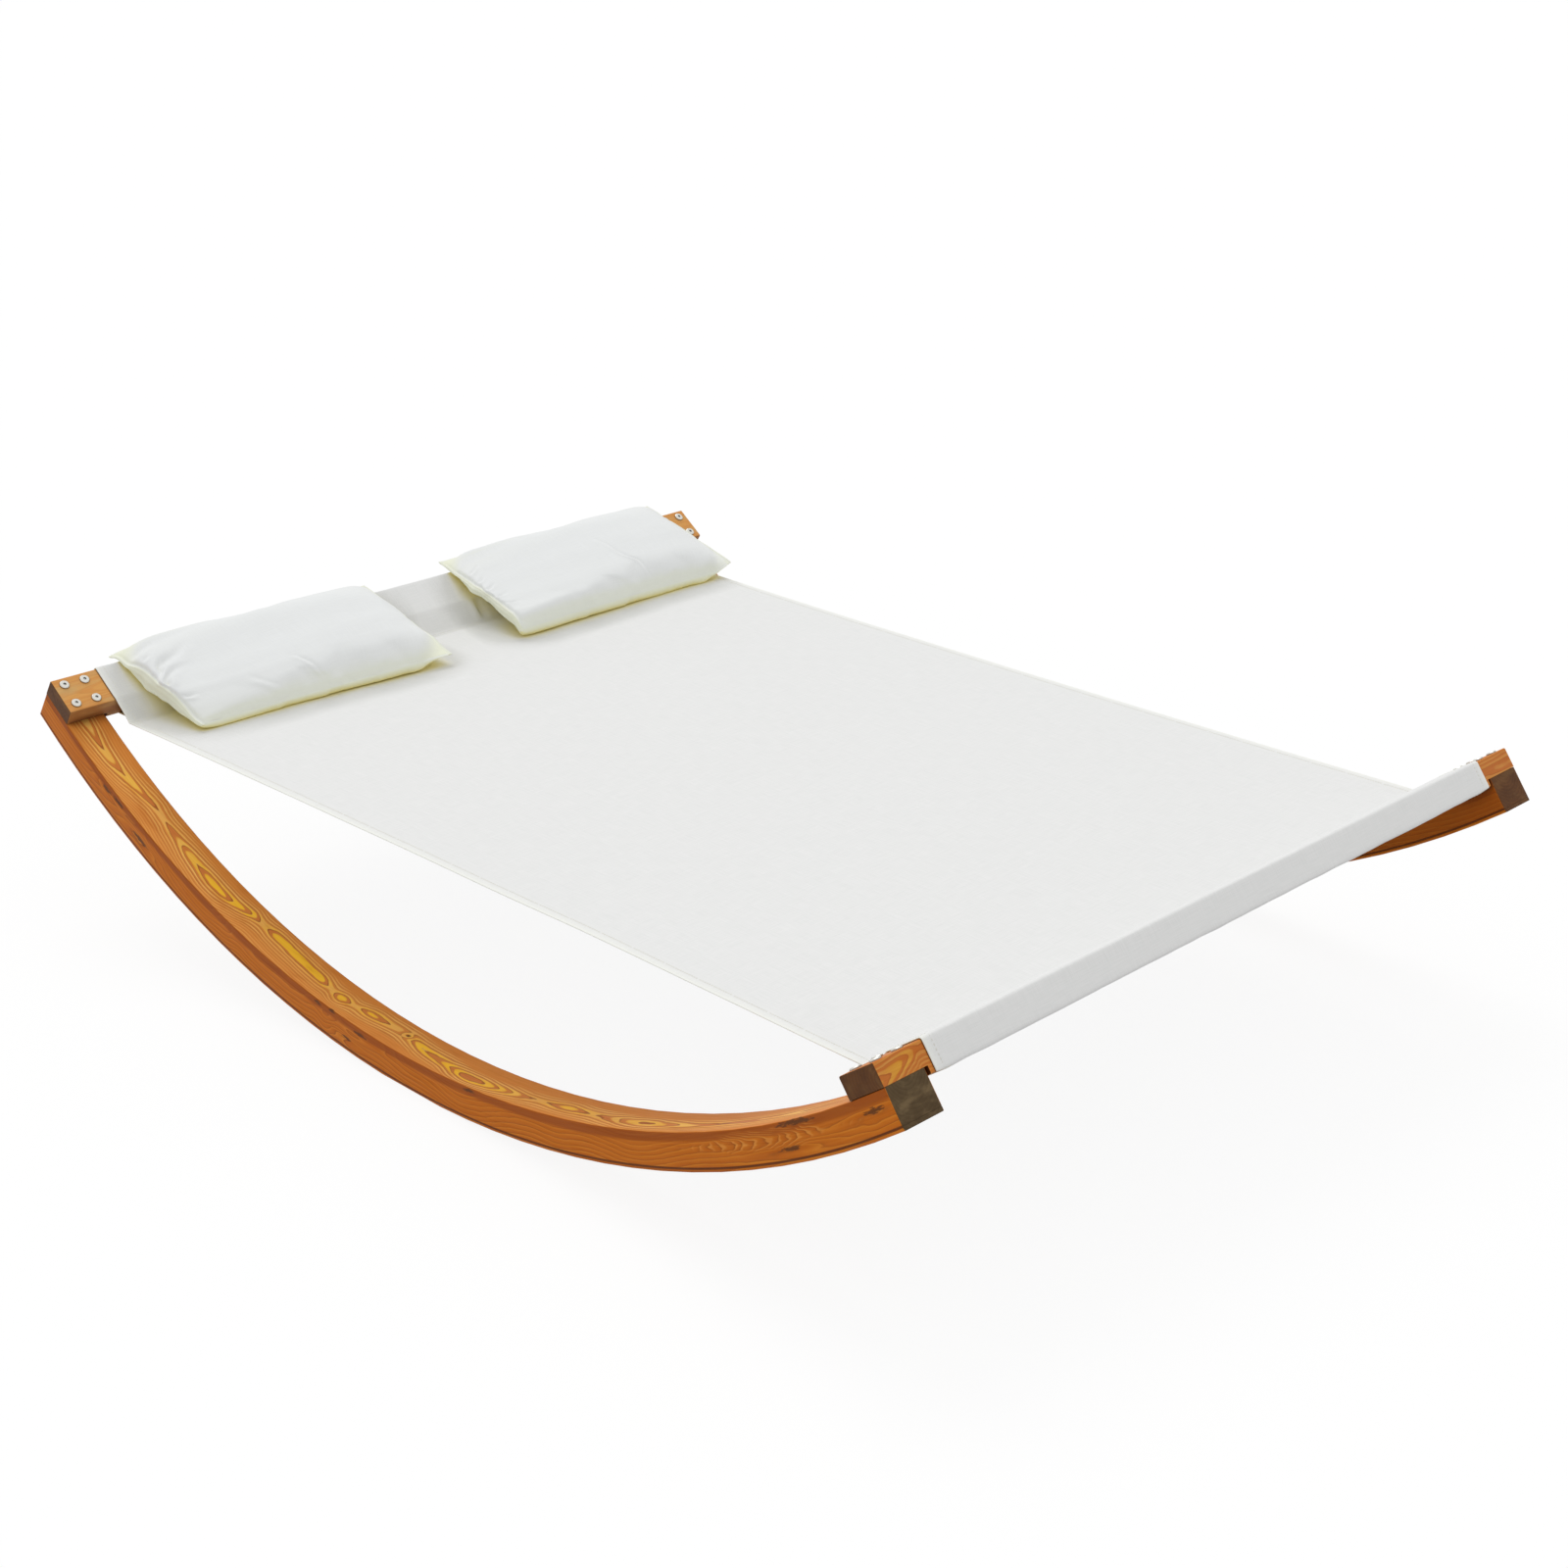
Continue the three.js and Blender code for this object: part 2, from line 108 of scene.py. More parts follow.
def between(value, low, high, toLow=0.0, toHigh=1.0):
    inputs = {0: value, 1: low, 2: high, 3: toLow, 4: toHigh}
    return put("ShaderNodeMapRange", inputs, interpolation_type="SMOOTHSTEP")


def blend(share, first, second, mode="MIX"):
    return put("ShaderNodeMix", {0: share, 6: first, 7: second}, 2, data_type="RGBA", blend_type=mode)


def ramp(value, stops, interpolation="LINEAR"):
    out = put("ShaderNodeValToRGB", {0: value})
    node = out.socket.node
    node.color_ramp.interpolation = interpolation
    elements = node.color_ramp.elements
    while len(elements) < len(stops):
        elements.new(0.5)
    for element, (place, colour) in zip(elements, sorted(stops)):
        element.position = place
        element.color = colour if isinstance(colour, tuple) else (colour, colour, colour, 1)
    return out


def combine(x, y, z):
    return put("ShaderNodeCombineXYZ", {0: x, 1: y, 2: z})


def split(value, kind="ShaderNodeSeparateXYZ"):
    return [Level(socket) for socket in put(kind, {0: value}).socket.node.outputs]


def dot(first, second):
    return put("ShaderNodeVectorMath", {0: first, 1: second}, 1, operation="DOT_PRODUCT")


def grain(place, scale=1.0, detail=2.0, roughness=0.5):
    inputs = {"Vector": place, "Scale": scale, "Detail": detail, "Roughness": roughness}
    return put("ShaderNodeTexNoise", inputs)


def occlusion(tree, reach, itself=False):
    return put("ShaderNodeAmbientOcclusion", {"Distance": reach}, 1, tree, samples=8, only_local=itself)


def objectPlace(tree):
    return put("ShaderNodeTexCoord", {}, 3, tree)


def facing(tree):
    return put("ShaderNodeTexCoord", {}, 1, tree)


def surface(colour, roughness, height, strength, distance, **fixed):
    normal = put("ShaderNodeBump", {"Strength": strength, "Distance": distance, "Height": height})
    inputs = {"Base Color": colour, "Roughness": roughness, "Normal": normal}
    for socket, value in fixed.items():
        inputs[socket.replace("_", " ")] = value
    put("ShaderNodeOutputMaterial", {"Surface": put("ShaderNodeBsdfPrincipled", inputs)})


def tint(red, green, blue):
    linear = []
    for level in (red, green, blue):
        share = level / 255
        linear.append(share / 12.92 if share <= 0.04045 else ((share + 0.055) / 1.055) ** 2.4)
    return (*linear, 1)


# Camera, light and background

view = {
    "place": (2.7152, -2.5807, 1.8138),
    "looksAlong": (-0.6455, 0.6544, -0.3938),
    "roll": -0.13,  # degrees
    "lens": 57.93,  # on a 36 mm sensor
    "shiftX": -0.028,
    "shiftY": 0.0258,
}

studio = {
    "skyStrength": 0.735,
    "keySpread": 34,  # degrees, how soft the key light is
    "keyPower": 0.83,
    "keyFrom": (-0.6, 0.2, 1.0),
    "floorSize": 60,
    "floorHeight": -0.0003,
    "floorShade": 0.11,  # how much of the floor's white is lit, and so takes shadows
    "floorGlow": 0.97,  # share of the light that the glow makes up for
    "floorBounce": 0.6,  # its grey, as the object is lit by it
}


def aimAlong(place, direction):
    turn = Vector(direction).to_track_quat("-Z", "Y").to_matrix().to_4x4()
    return Matrix.Translation(place) @ turn


def makeCamera():
    data = bpy.data.cameras.new("camera")
    data.lens = view["lens"]
    data.sensor_width = 36
    data.shift_x = view["shiftX"]
    data.shift_y = view["shiftY"]
    data.clip_end = 100
    camera = bpy.data.objects.new("camera", data)
    roll = Matrix.Rotation(math.radians(view["roll"]), 4, "Z")
    camera.matrix_world = aimAlong(view["place"], view["looksAlong"]) @ roll
    scene.collection.objects.link(camera)
    scene.camera = camera


# A surface that looks one way to the eye and lights the object in another way
def twoFaced(tree, lit, shown, output):
    path = tree.nodes.new("ShaderNodeLightPath")
    camera, glossy, through = [
        Level(path.outputs[f"Is {kind} Ray"]) for kind in ("Camera", "Glossy", "Transmission")]
    seen = calc("MAXIMUM", calc("MAXIMUM", camera, glossy), through)
    put(output, {"Surface": put("ShaderNodeMixShader", {0: seen, 1: lit, 2: shown})})


def makeStudio():
    scene.view_settings.view_transform = "Standard"
    world = bpy.data.worlds.new("studio")
    world.use_nodes = True
    tree = world.node_tree
    tree.nodes.clear()
    sky, white = [
        put("ShaderNodeBackground", {"Color": (1, 1, 1, 1), "Strength": strength}, tree=tree)
        for strength in (studio["skyStrength"], 1.0)]
    twoFaced(tree, sky, white, "ShaderNodeOutputWorld")
    scene.world = world

    data = bpy.data.lights.new("key", "SUN")
    data.angle = math.radians(studio["keySpread"])
    data.energy = studio["keyPower"]
    lamp = bpy.data.objects.new("key", data)
    lamp.matrix_world = aimAlong(Vector(studio["keyFrom"]) * 3, -Vector(studio["keyFrom"]))
    scene.collection.objects.link(lamp)

    half = studio["floorSize"] / 2
    low = studio["floorHeight"]
    corners = [(-half, -half, low), (half, -half, low), (half, half, low), (-half, half, low)]
    mesh = bpy.data.meshes.new("floor")
    mesh.from_pydata(corners, [], [(0, 1, 2, 3)])
    floor = bpy.data.objects.new("floor", mesh)
    scene.collection.objects.link(floor)
    mesh.materials.append(floorMaterial())
    floor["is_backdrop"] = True


def floorMaterial():
    material, tree = newTree("pale_floor")
    lit, bounce = [
        put("ShaderNodeBsdfDiffuse", {"Color": (grey, grey, grey, 1)}, tree=tree)
        for grey in (studio["floorShade"], studio["floorBounce"])]
    falling = Vector(studio["keyFrom"]).normalized().z * studio["keyPower"] / math.pi
    level = 1 - studio["floorShade"] * (studio["skyStrength"] + falling) * studio["floorGlow"]
    glow = put("ShaderNodeEmission", {"Color": (1, 1, 1, 1), "Strength": level}, tree=tree)
    twoFaced(tree, bounce, put("ShaderNodeAddShader", {0: lit, 1: glow}), "ShaderNodeOutputMaterial")
    return material


makeCamera()
makeStudio()
print("camera and studio set")


# Timber: growth rings round a pith that runs over the upper face, in the timber's own directions

timber = {
    "ringWidth": 0.0048,
    "pithHeight": 0.0105,  # over the upper face
    "pale": tint(248, 192, 100),
    "gold": tint(255, 196, 46),
    "warm": tint(236, 154, 66),
    "late": tint(212, 124, 56),
    "line": tint(172, 94, 40),
    "sidePale": tint(232, 146, 44),
    "sideWarm": tint(212, 118, 22),
    "sideLate": tint(192, 98, 14),
    "sideLine": tint(142, 70, 14),
    "sideBand": tint(158, 76, 12),
    "sideBright": tint(238, 160, 70),
    # painted shade that darkens a whole timber, mixed in by its painted shade share
    "paintedSideShade": tint(150, 74, 20),
    "glueLine": tint(92, 44, 12),
    "endGrain": tint(100, 82, 56),
    "endGrainDark": tint(74, 56, 34),
    "endGrainPale": tint(150, 126, 90),
    "beamEnd": tint(110, 70, 36),
    "beamEndDark": tint(76, 45, 22),
    "beamEndPale": tint(134, 98, 56),
    "knot": tint(92, 54, 22),
    "flank": tint(226, 140, 58),
    "grey": tint(214, 174, 114),
    "nookShade": tint(92, 46, 18),  # painted shade where one timber stands over another
    "nookShadeReach": 0.035,
    # painted shade on faces turned away from the key light
    "paintedTurnedShade": tint(140, 70, 24),
    "bodyDepth": 0.05,  # glue line over the lowest lamella
    "turnsSide": (0.45, 0.8),  # how far a face looks sideways to be a side, from none to all
    "turnsEnd": (0.6, 0.85),  # the same for a sawn end
    "boneAt": 0.77,  # middle of the fishbone figure: along, depth
    "boneDepth": 0.021,
    "bonePitch": 0.0215,
}

# Figure of a rocker's upper face: place along it and middle line in millimetres, rings deeper, gold share
rockerFigure = [
    (-980, -2, 3.4, 0.0), (-905, -4, 2.6, 0.2), (-850, -4, 1.7, 0.3), (-800, 1, 0.9, 0.5),
    (-752, 8, 0.3, 0.2), (-722, 6, 0.0, 0.0), (-695, 4, 0.35, 0.2), (-645, 1, 1.4, 0.4),
    (-585, -3, 2.4, 0.8), (-540, -4, 2.75, 1.0), (-505, -2, 2.2, 0.9), (-462, 6, 1.25, 1.0),
    (-436, 8, 0.15, 0.1), (-400, 9, 0.8, 0.9), (-320, 5, 1.0, 1.0), (-262, 1, 0.82, 1.0),
    (-232, -3, 0.1, 0.1), (-206, -5, 1.1, 1.0), (-176, -2, 0.0, 0.1), (-140, 3, 0.85, 1.0),
    (-95, 6, 0.1, 0.2), (-54, 6, 0.2, 0.3), (-12, -2, 0.95, 1.0), (60, -9, 1.8, 1.0),
    (118, -15, 3.6, 0.9), (190, -12, 1.9, 0.7), (262, -8, 0.1, 0.1), (330, -5, 0.8, 0.8),
    (400, -8, 0.2, 0.2), (500, -10, 2.3, 0.5), (640, -8, 0.4, 0.1), (960, 2, 2.0, 0.0),
]

# The same for the foot beam's outer face, along from its middle
beamFigure = [
    (-705, -5, 2.9, 0.1), (-685, -1, 2.3, 0.3), (-660, 6, 1.7, 0.45), (-640, 11, 0.9, 0.3),
    (-628, 13, 0.2, 0.0), (-600, 8, 0.8, 0.2), (-300, 0, 1.8, 0.1), (0, -4, 0.8, 0.3),
    (300, 2, 1.6, 0.1), (600, 0, 0.6, 0.0), (700, 0, 0.9, 0.0),
]

# Knots: along, across, depth, length and breadth in millimetres
rockerKnots = [
    (-54, 6, 0, 4, 3), (-225, -35, 6, 9, 3), (-188, -35, 3, 8, 3), (-153, -35, 33, 12, 3),
    (-119, -35, 11, 14, 3), (142, -35, 5, 14, 3), (838, -35, 4, 36, 4), (812, -35, 36, 24, 3),
    (985, -35, 20, 20, 4), (-818, -35, 14, 13, 4), (-785, -35, 10, 20, 4), (-712, -35, 28, 24, 4),
]

rocker = {
    "innerRadius": 1.567,
    "arcCentre": 1.6215,  # above the floor
    "middle": 0.665,  # from the bed's centre line
    "seatTilt": 36.1,  # degrees
}


def hump(value, centre, reach):
    off = (value - centre) / reach
    return off * off


def fallOff(first, *others):
    for other in others:
        first = first + other
    return calc("EXPONENT", first * -1.0)


def paintedRings(phase, *stops):
    return ramp(phase, [(place, timber[paint]) for place, paint in stops])


# The figure's rows are read off a colour ramp along the timber, so they are brought to 0 to 1 and back
def readFigure(along, figure):
    share = put("ShaderNodeMapRange", {0: along, 1: -1.0, 2: 1.0, 3: 0.0, 4: 1.0})
    stops = []
    for place, middle, deeper, gold in figure:
        stops.append(((place / 1000 + 1) / 2, (middle / 40 + 0.5, deeper / 4, gold, 1)))
    middle, deeper, gold = split(ramp(share, stops, "CARDINAL"), "ShaderNodeSeparateColor")
    return (middle - 0.5) * 0.04, deeper * 4.0, gold


# Short arcs like a fish's bones, where the cut runs close to a wavy ring
def fishbone(along, depth, ripple, colour):
    count = along / timber["bonePitch"] + hump(depth, timber["boneDepth"], 0.0095) + ripple * 4.2
    arcs = paintedRings(
        calc("FRACT", count), (0.0, "sideBright"), (0.12, "sideBright"), (0.28, "sideWarm"),
        (0.7, "sideLate"), (0.88, "sideLine"), (0.96, "sideBright"))
    mask = fallOff(hump(along, timber["boneAt"], 0.165), hump(depth, timber["boneDepth"], 0.0115))
    return blend(between(ripple * 1.8 + mask, 0.25, 0.85, 0.0, 0.6), colour, arcs)


def timberMaterial(name, directions, endMask, seed, figure=None, knots=(), contrast=1.0, greyed=0.0,
                   ends="endGrain", glued=False, plain="warm", paintedShadeShare=0.0, away=None):
    material, tree = newTree(name)
    along, across, depth, sideways = directions(tree)
    shifted = along + seed

    def drawnOut(lengthwise, crosswise, shift=0.0, detail=2.0, roughness=0.5):
        place = combine(shifted * lengthwise, across * crosswise, depth * crosswise + shift)
        return grain(place, 1.0, detail, roughness)

    wander = drawnOut(3.2, 14) - 0.5
    ripple = drawnOut(17, 60) - 0.5
    crinkle = drawnOut(60, 160) - 0.5
    centred = across
    deeper = wander * 7.0
    if figure:
        middle, drop, gold = readFigure(along, figure)
        centred = across - middle * between(depth, 0.0, 0.02, 1.0, 0.0)
        deeper = wander * 1.1 - drop
    toPith = depth * 0.85 + timber["pithHeight"]
    radius = calc("SQRT", centred * centred + toPith * toPith)
    rings = radius / timber["ringWidth"] + deeper + ripple * 0.75 + crinkle * 0.16

    # Rings bend round each knot
    dark = None
    for place, offset, deep, length, breadth in knots:
        measures = list(zip(
            (along, across, depth), (place, offset, deep), (length, breadth, breadth), (3.4, 2.4, 2.2)))
        core = [hump(part, at / 1000, size / 1000) for part, at, size, wider in measures]
        wide = [hump(part, at / 1000, size / 1000 * wider) for part, at, size, wider in measures]
        rings = rings + fallOff(*wide) * 1.7
        dark = fallOff(*core) if dark is None else calc("MAXIMUM", dark, fallOff(*core))

    phase = calc("FRACT", rings)
    uneven = put("ShaderNodeTexWhiteNoise", {"W": calc("FLOOR", rings)}, noise_dimensions="1D")
    upper = paintedRings(
        phase, (0.0, "pale"), (0.36, "pale"), (0.52, "late"), (0.82, "late"), (0.9, "line"), (0.96, "line"),
        (1.0, "pale"))
    side = paintedRings(
        phase, (0.0, "sidePale"), (0.3, "sideWarm"), (0.75, "sideLate"), (0.92, "sideLine"),
        (1.0, "sidePale"))
    upper = blend(uneven * 0.4, upper, timber["warm"])
    upper = blend(1 - contrast, upper, timber[plain])
    flank = between(abs(centred) + wander * 0.02, 0.013, 0.027, 0.0, 0.58)
    if knots:
        flank = flank * between(along, -0.35, 0.05, 1.0, 1.65)
        flank = calc("MULTIPLY", flank, between(centred, 0.004, 0.018, 1.0, 1.5), clamp=True)
    upper = blend(flank, upper, timber["flank"])
    side = blend(uneven * 0.6 + 0.18, side, timber["sideWarm"])
    if figure:
        inBand = between(abs(centred), 0.005, 0.013, 1.0, 0.0)
        inRing = between(phase, 0.44, 0.58, 1.0, 0.0)
        upper = blend(inBand * inRing * gold, upper, timber["gold"])
    if knots:
        side = blend(between(depth + wander * 0.01, 0.01, 0.016, 0.8, 0.0), side, timber["sideBand"])
        side = fishbone(along, depth, ripple, side)
    # Painted shade: the far rocker and, less, the foot beam are darkened as a whole
    colour = blend(paintedShadeShare, blend(sideways, upper, side), timber["paintedSideShade"])
    # Painted shade on faces that turn away from the key light
    if away is not None:
        awayShade = between(dot(facing(tree), away), *timber["turnsSide"], 0.0, 0.85)
        colour = blend(awayShade, colour, timber["paintedTurnedShade"])

    # Fibres, blotches, knots and glue line over the rings
    fibre = drawnOut(9, 420, 0.0, 3.0, 0.6)
    colour = blend(between(fibre, 0.4, 0.75, 0.0, 0.14), colour, timber["line"], "MULTIPLY")
    blotch = drawnOut(9, 40, 3.0, 3.0, 0.6)
    colour = blend(between(blotch, 0.5, 0.78, 0.0, 0.45), colour, timber["sideLate"])
    if greyed:
        colour = blend(between(blotch, 0.3, 0.56, 0.35 + greyed, 0.35), colour, timber["grey"])
    if dark is not None:
        torn = drawnOut(90, 420, 7.0, 3.0, 0.65)
        ragged = ((torn - 0.5) * 2.6 + dark * 1.15) * between(dark, 0.06, 0.3)
        colour = blend(between(ragged, 0.3, 0.75, 0.0, 0.85), colour, timber["knot"])
    if glued:
        seam = abs(depth - timber["bodyDepth"])
        colour = blend(between(seam, 0.001, 0.0024, 0.85, 0.0), colour, timber["glueLine"])

    # Sawn ends, and the painted shade under and beside another timber
    sawn = blend(phase * 0.5, timber[ends], timber[ends + "Dark"])
    sawn = blend(between(blotch, 0.3, 0.7, 0.0, 0.6), sawn, timber[ends + "Dark"])
    weathered = grain(combine(across * 28, depth * 60, along), 1.0, 3.0, 0.6)
    sawn = blend(between(weathered, 0.48, 0.72, 0.0, 0.35), sawn, timber[ends + "Pale"])
    colour = blend(endMask(tree), colour, sawn)
    # Painted shade in nooks from ambient occlusion, left off near the floor
    offFloor = between(split(objectPlace(tree))[2], 0.05, 0.12)
    occludedShade = between(occlusion(tree, timber["nookShadeReach"]), 0.35, 0.85, 0.9, 0.0)
    colour = blend(occludedShade * offFloor, colour, timber["nookShade"])
    rough = between(fibre, 0.2, 0.8, 0.4, 0.58)
    surface(colour, rough, phase * -0.6 + fibre * 0.5, 0.14, 0.0004, Specular_IOR_Level=0.12)
    return material


def rockerArc(tree):
    x, y, z = split(objectPlace(tree))
    below = calc("SUBTRACT", rocker["arcCentre"], z)
    return x, y, below, calc("SQRT", x * x + below * below)


# Directions are length along the timber, across it, depth under its upper face, and how much a face is a side
def rockerDirections(centreY, mirror):
    def directions(tree):
        x, y, below, reach = rockerArc(tree)
        along = calc("ARCTAN2", x, below) * (rocker["innerRadius"] * mirror)
        looksAside = between(abs(split(facing(tree))[1]), *timber["turnsSide"])
        return along, (y - centreY) * mirror, reach - rocker["innerRadius"], looksAside
    return directions


def rockerEnds(tree):
    x, y, below, reach = rockerArc(tree)
    normalX, _, normalZ = split(facing(tree))
    return between(abs((normalX * below + normalZ * x) / reach), *timber["turnsEnd"])


def beamDirections(centre, upward, seatward, sideShare):
    def directions(tree):
        place = put("ShaderNodeVectorMath", {0: objectPlace(tree), 1: centre}, operation="SUBTRACT")
        looksAside = between(abs(dot(facing(tree), upward)), *timber["turnsSide"], 0.0, sideShare)
        return split(place)[1], dot(place, upward), dot(place, seatward), looksAside
    return directions


def beamEnds(tree):
    return between(abs(split(facing(tree))[1]), *timber["turnsEnd"])


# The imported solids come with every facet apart: join them again and shade the arcs round
def dress(node, material, sharpFrom=50):
    mesh = node.data
    mesh.materials.clear()
    mesh.materials.append(material)
    if mesh.has_custom_normals:
        mesh.attributes.remove(mesh.attributes["custom_normal"])
    for polygon in mesh.polygons:
        polygon.use_smooth = True
    weld = node.modifiers.new("join", "WELD")
    weld.merge_threshold = 0.00002
    edges = node.modifiers.new("crease", "EDGE_SPLIT")
    edges.split_angle = math.radians(sharpFrom)
    even = node.modifiers.new("even", "WEIGHTED_NORMAL")
    even.mode = "FACE_AREA"


def meshPoints(node):
    return np.array([v.co for v in node.data.vertices], float)


# A beam's two directions and its extent along them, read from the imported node
def beamAxes(end):
    tilt = math.radians(rocker["seatTilt"])
    outward = 1 if end == "foot" else -1
    upward = Vector((outward * math.cos(tilt), 0, math.sin(tilt)))
    seatward = Vector((-outward * math.sin(tilt), 0, math.cos(tilt)))
    points = meshPoints(nodes[end + "_beam"])
    across = points @ np.array(upward)
    over = points @ np.array(seatward)
    return {
        "upward": upward, "seatward": seatward,
        "low": across.min(), "high": across.max(), "under": over.min(), "top": over.max(),
    }


def dressTimber():
    for side, sign in (("right", -1), ("left", 1)):
        near = side == "right"
        directions = rockerDirections(sign * rocker["middle"], -sign)
        kinds = {"ends": "endGrain" if near else "beamEnd", "glued": True}
        # The far (left) rocker's body takes painted shade
        body = timberMaterial(
            "larch_rocker_" + side, directions, rockerEnds, 3.0 + sign, rockerFigure, rockerKnots,
            paintedShadeShare=0.0 if near else 0.55, **kinds)
        sole = timberMaterial("larch_sole_" + side, directions, rockerEnds, 11.0 + sign, **kinds)
        dress(nodes["rocker_" + side], body)
        dress(nodes["rocker_sole_" + side], sole)

    axes = beamAxes("head")
    upward, seatward = axes["upward"], axes["seatward"]
    centre = upward * (axes["low"] + axes["high"]) / 2 + seatward * axes["top"]
    # The head beam's faces turned towards the bed take painted shade
    dress(nodes["head_beam"], timberMaterial(
        "larch_beam_head", beamDirections(centre, upward, -seatward, 0.9), beamEnds, 5.0,
        contrast=0.35, greyed=0.5, ends="beamEnd", away=-upward))
    axes = beamAxes("foot")
    upward, seatward = axes["upward"], axes["seatward"]
    centre = upward * axes["high"] + seatward * (axes["under"] + axes["top"]) / 2
    dress(nodes["foot_beam"], timberMaterial(
        "larch_beam_foot", beamDirections(centre, seatward, -upward, 0.35), beamEnds, 7.5, beamFigure,
        contrast=0.5, ends="beamEnd", plain="late", paintedShadeShare=0.2))


dressTimber()
print("timber dressed")


# Metal

metal = {
    "zinc": (tint(222, 221, 214), 0.34, 0.3),  # colour, roughness, mottling
    "brass": (tint(196, 160, 84), 0.35, 0.12),
    "mottled": (0.35, 0.34, 0.32, 1),
    # painted shade in sockets and recesses
    "recessShade": (0.05, 0.048, 0.044, 1),
    "recessShadeReach": 0.004,
    "spangles": 900,  # to the metre
    "sharpFrom": 40,  # degrees
}


def metalMaterial(name, colour, roughness, mottling):
    material, tree = newTree(name)
    spangle = grain(objectPlace(tree), metal["spangles"], 3.0, 0.6)
    shade = blend(between(spangle, 0.3, 0.7, 0.0, mottling), colour, metal["mottled"])
    # Painted shade in recesses, from ambient occlusion
    recessShade = between(occlusion(tree, metal["recessShadeReach"]), 0.35, 0.85, 0.85, 0.0)
    shade = blend(recessShade, shade, metal["recessShade"])
    rough = between(spangle, 0.3, 0.7, roughness - 0.07, roughness + 0.1)
    surface(shade, rough, spangle, 0.08, 0.0001, Metallic=1.0)
    return material


def dressFasteners():
    zinc = metalMaterial("zinc_plate", *metal["zinc"])
    brass = metalMaterial("turned_brass", *metal["brass"])
    for name, node in nodes.items():
        if name.startswith(("bolt_", "insert_")):
            dress(node, zinc if name.startswith("bolt_") else brass, metal["sharpFrom"])


dressFasteners()
print("fasteners dressed")


# Cloth

cloth = {
    "canvas": tint(241, 241, 240),
    # painted highlight along the sling's folded edges
    "canvasRim": tint(250, 251, 244),
    "canvasPaintedShade": tint(150, 151, 144),  # painted shade beside another piece
    "canvasThread": 0.0009,  # spacing of the threads
    "canvasSlub": 0.35,  # how much the thicker threads show
    "cotton": tint(241, 243, 243),
    # painted cream shade tint, low on the pillows
    "cottonRim": tint(242, 244, 222),
    # painted shade on the pillows beside the bed
    "cottonPaintedShade": tint(230, 234, 196),
    "cottonThread": 0.00045,
    "cottonSlub": 0.2,
    "slub": tint(222, 224, 222),
    # painted yellow shade in nooks and at contacts
    "deepShade": tint(238, 222, 104),
    "deepReach": 0.045,
    "paintedShadeReach": 0.07,
    # share of painted shade by how much other pieces hide the sky
    "paintedShadeRamp": [
        (0.4, 0.0), (0.6, 0.03), (0.7, 0.14), (0.8, 0.32), (0.88, 0.29),
        (0.93, 0.24), (0.965, 0.14), (1.0, 0.0),
    ],
}


def clothMaterial(kind):
    material, tree = newTree(kind + "_weave")
    threads = put("ShaderNodeAttribute", {}, 1, tree, attribute_name="threadPlace")
    across, along = split(threads)[:2]
    turns = 2 * math.pi / cloth[kind + "Thread"]
    weave = calc("SINE", across * turns) * calc("SINE", along * turns)
    slubs = grain(combine(across * 900, along * 25, 0.0)) + grain(combine(across * 25, along * 900, 4.0))
    tone = blend(between(slubs, 0.75, 1.25, 0.0, cloth[kind + "Slub"]), cloth[kind], cloth["slub"])
    # Painted tint: a highlight along the sling's edges, cream shade low on the pillows
    tone = blend(put("ShaderNodeAttribute", {}, 2, tree, attribute_name="paintedTintShare"), tone, cloth[kind + "Rim"])
    # Painted shade where another piece is near: occlusion by all over the cloth's own occlusion
    around = occlusion(tree, cloth["paintedShadeReach"])
    itself = calc("MAXIMUM", occlusion(tree, cloth["paintedShadeReach"], True), 0.2)
    near = calc("DIVIDE", around, itself, clamp=True)
    tone = blend(ramp(near, cloth["paintedShadeRamp"]), tone, cloth[kind + "PaintedShade"])
    # Painted yellow shade deep in nooks, from ambient occlusion
    occludedShade = between(occlusion(tree, cloth["deepReach"]), 0.05, 0.75, 0.75, 0.0)
    tone = blend(occludedShade, tone, cloth["deepShade"])
    surface(tone, 0.88, weave * 0.5 + slubs * 0.6, 0.16, 0.0002, Sheen_Weight=0.15, Specular_IOR_Level=0.2)
    return material


def makeMesh(name, points, faces):
    mesh = bpy.data.meshes.new(name)
    mesh.from_pydata([tuple(p) for p in points], [], faces)
    for polygon in mesh.polygons:
        polygon.use_smooth = True
    piece = bpy.data.objects.new(name, mesh)
    scene.collection.objects.link(piece)
    return piece


# Values at each point that the cloth's material reads: place of the thread, and share of the painted tint, a
# highlight along the sling's edges and cream shade on the pillows
def mark(piece, threads=None, paintedTintShare=None):
    rows = (("threadPlace", "FLOAT_VECTOR", "vector", threads), ("paintedTintShare", "FLOAT", "value", paintedTintShare))
    for name, kind, field, values in rows:
        if values is not None:
            attribute = piece.data.attributes.new(name, kind, "POINT")
            attribute.data.foreach_set(field, np.array(values, np.float32).ravel())


def applyModifiers(piece):
    bpy.context.view_layer.update()
    depsgraph = bpy.context.evaluated_depsgraph_get()
    mesh = bpy.data.meshes.new_from_object(piece.evaluated_get(depsgraph))
    piece.modifiers.clear()
    piece.data = mesh


# Sling: one length of canvas, hemmed at the sides, looped round each beam and stitched back to itself

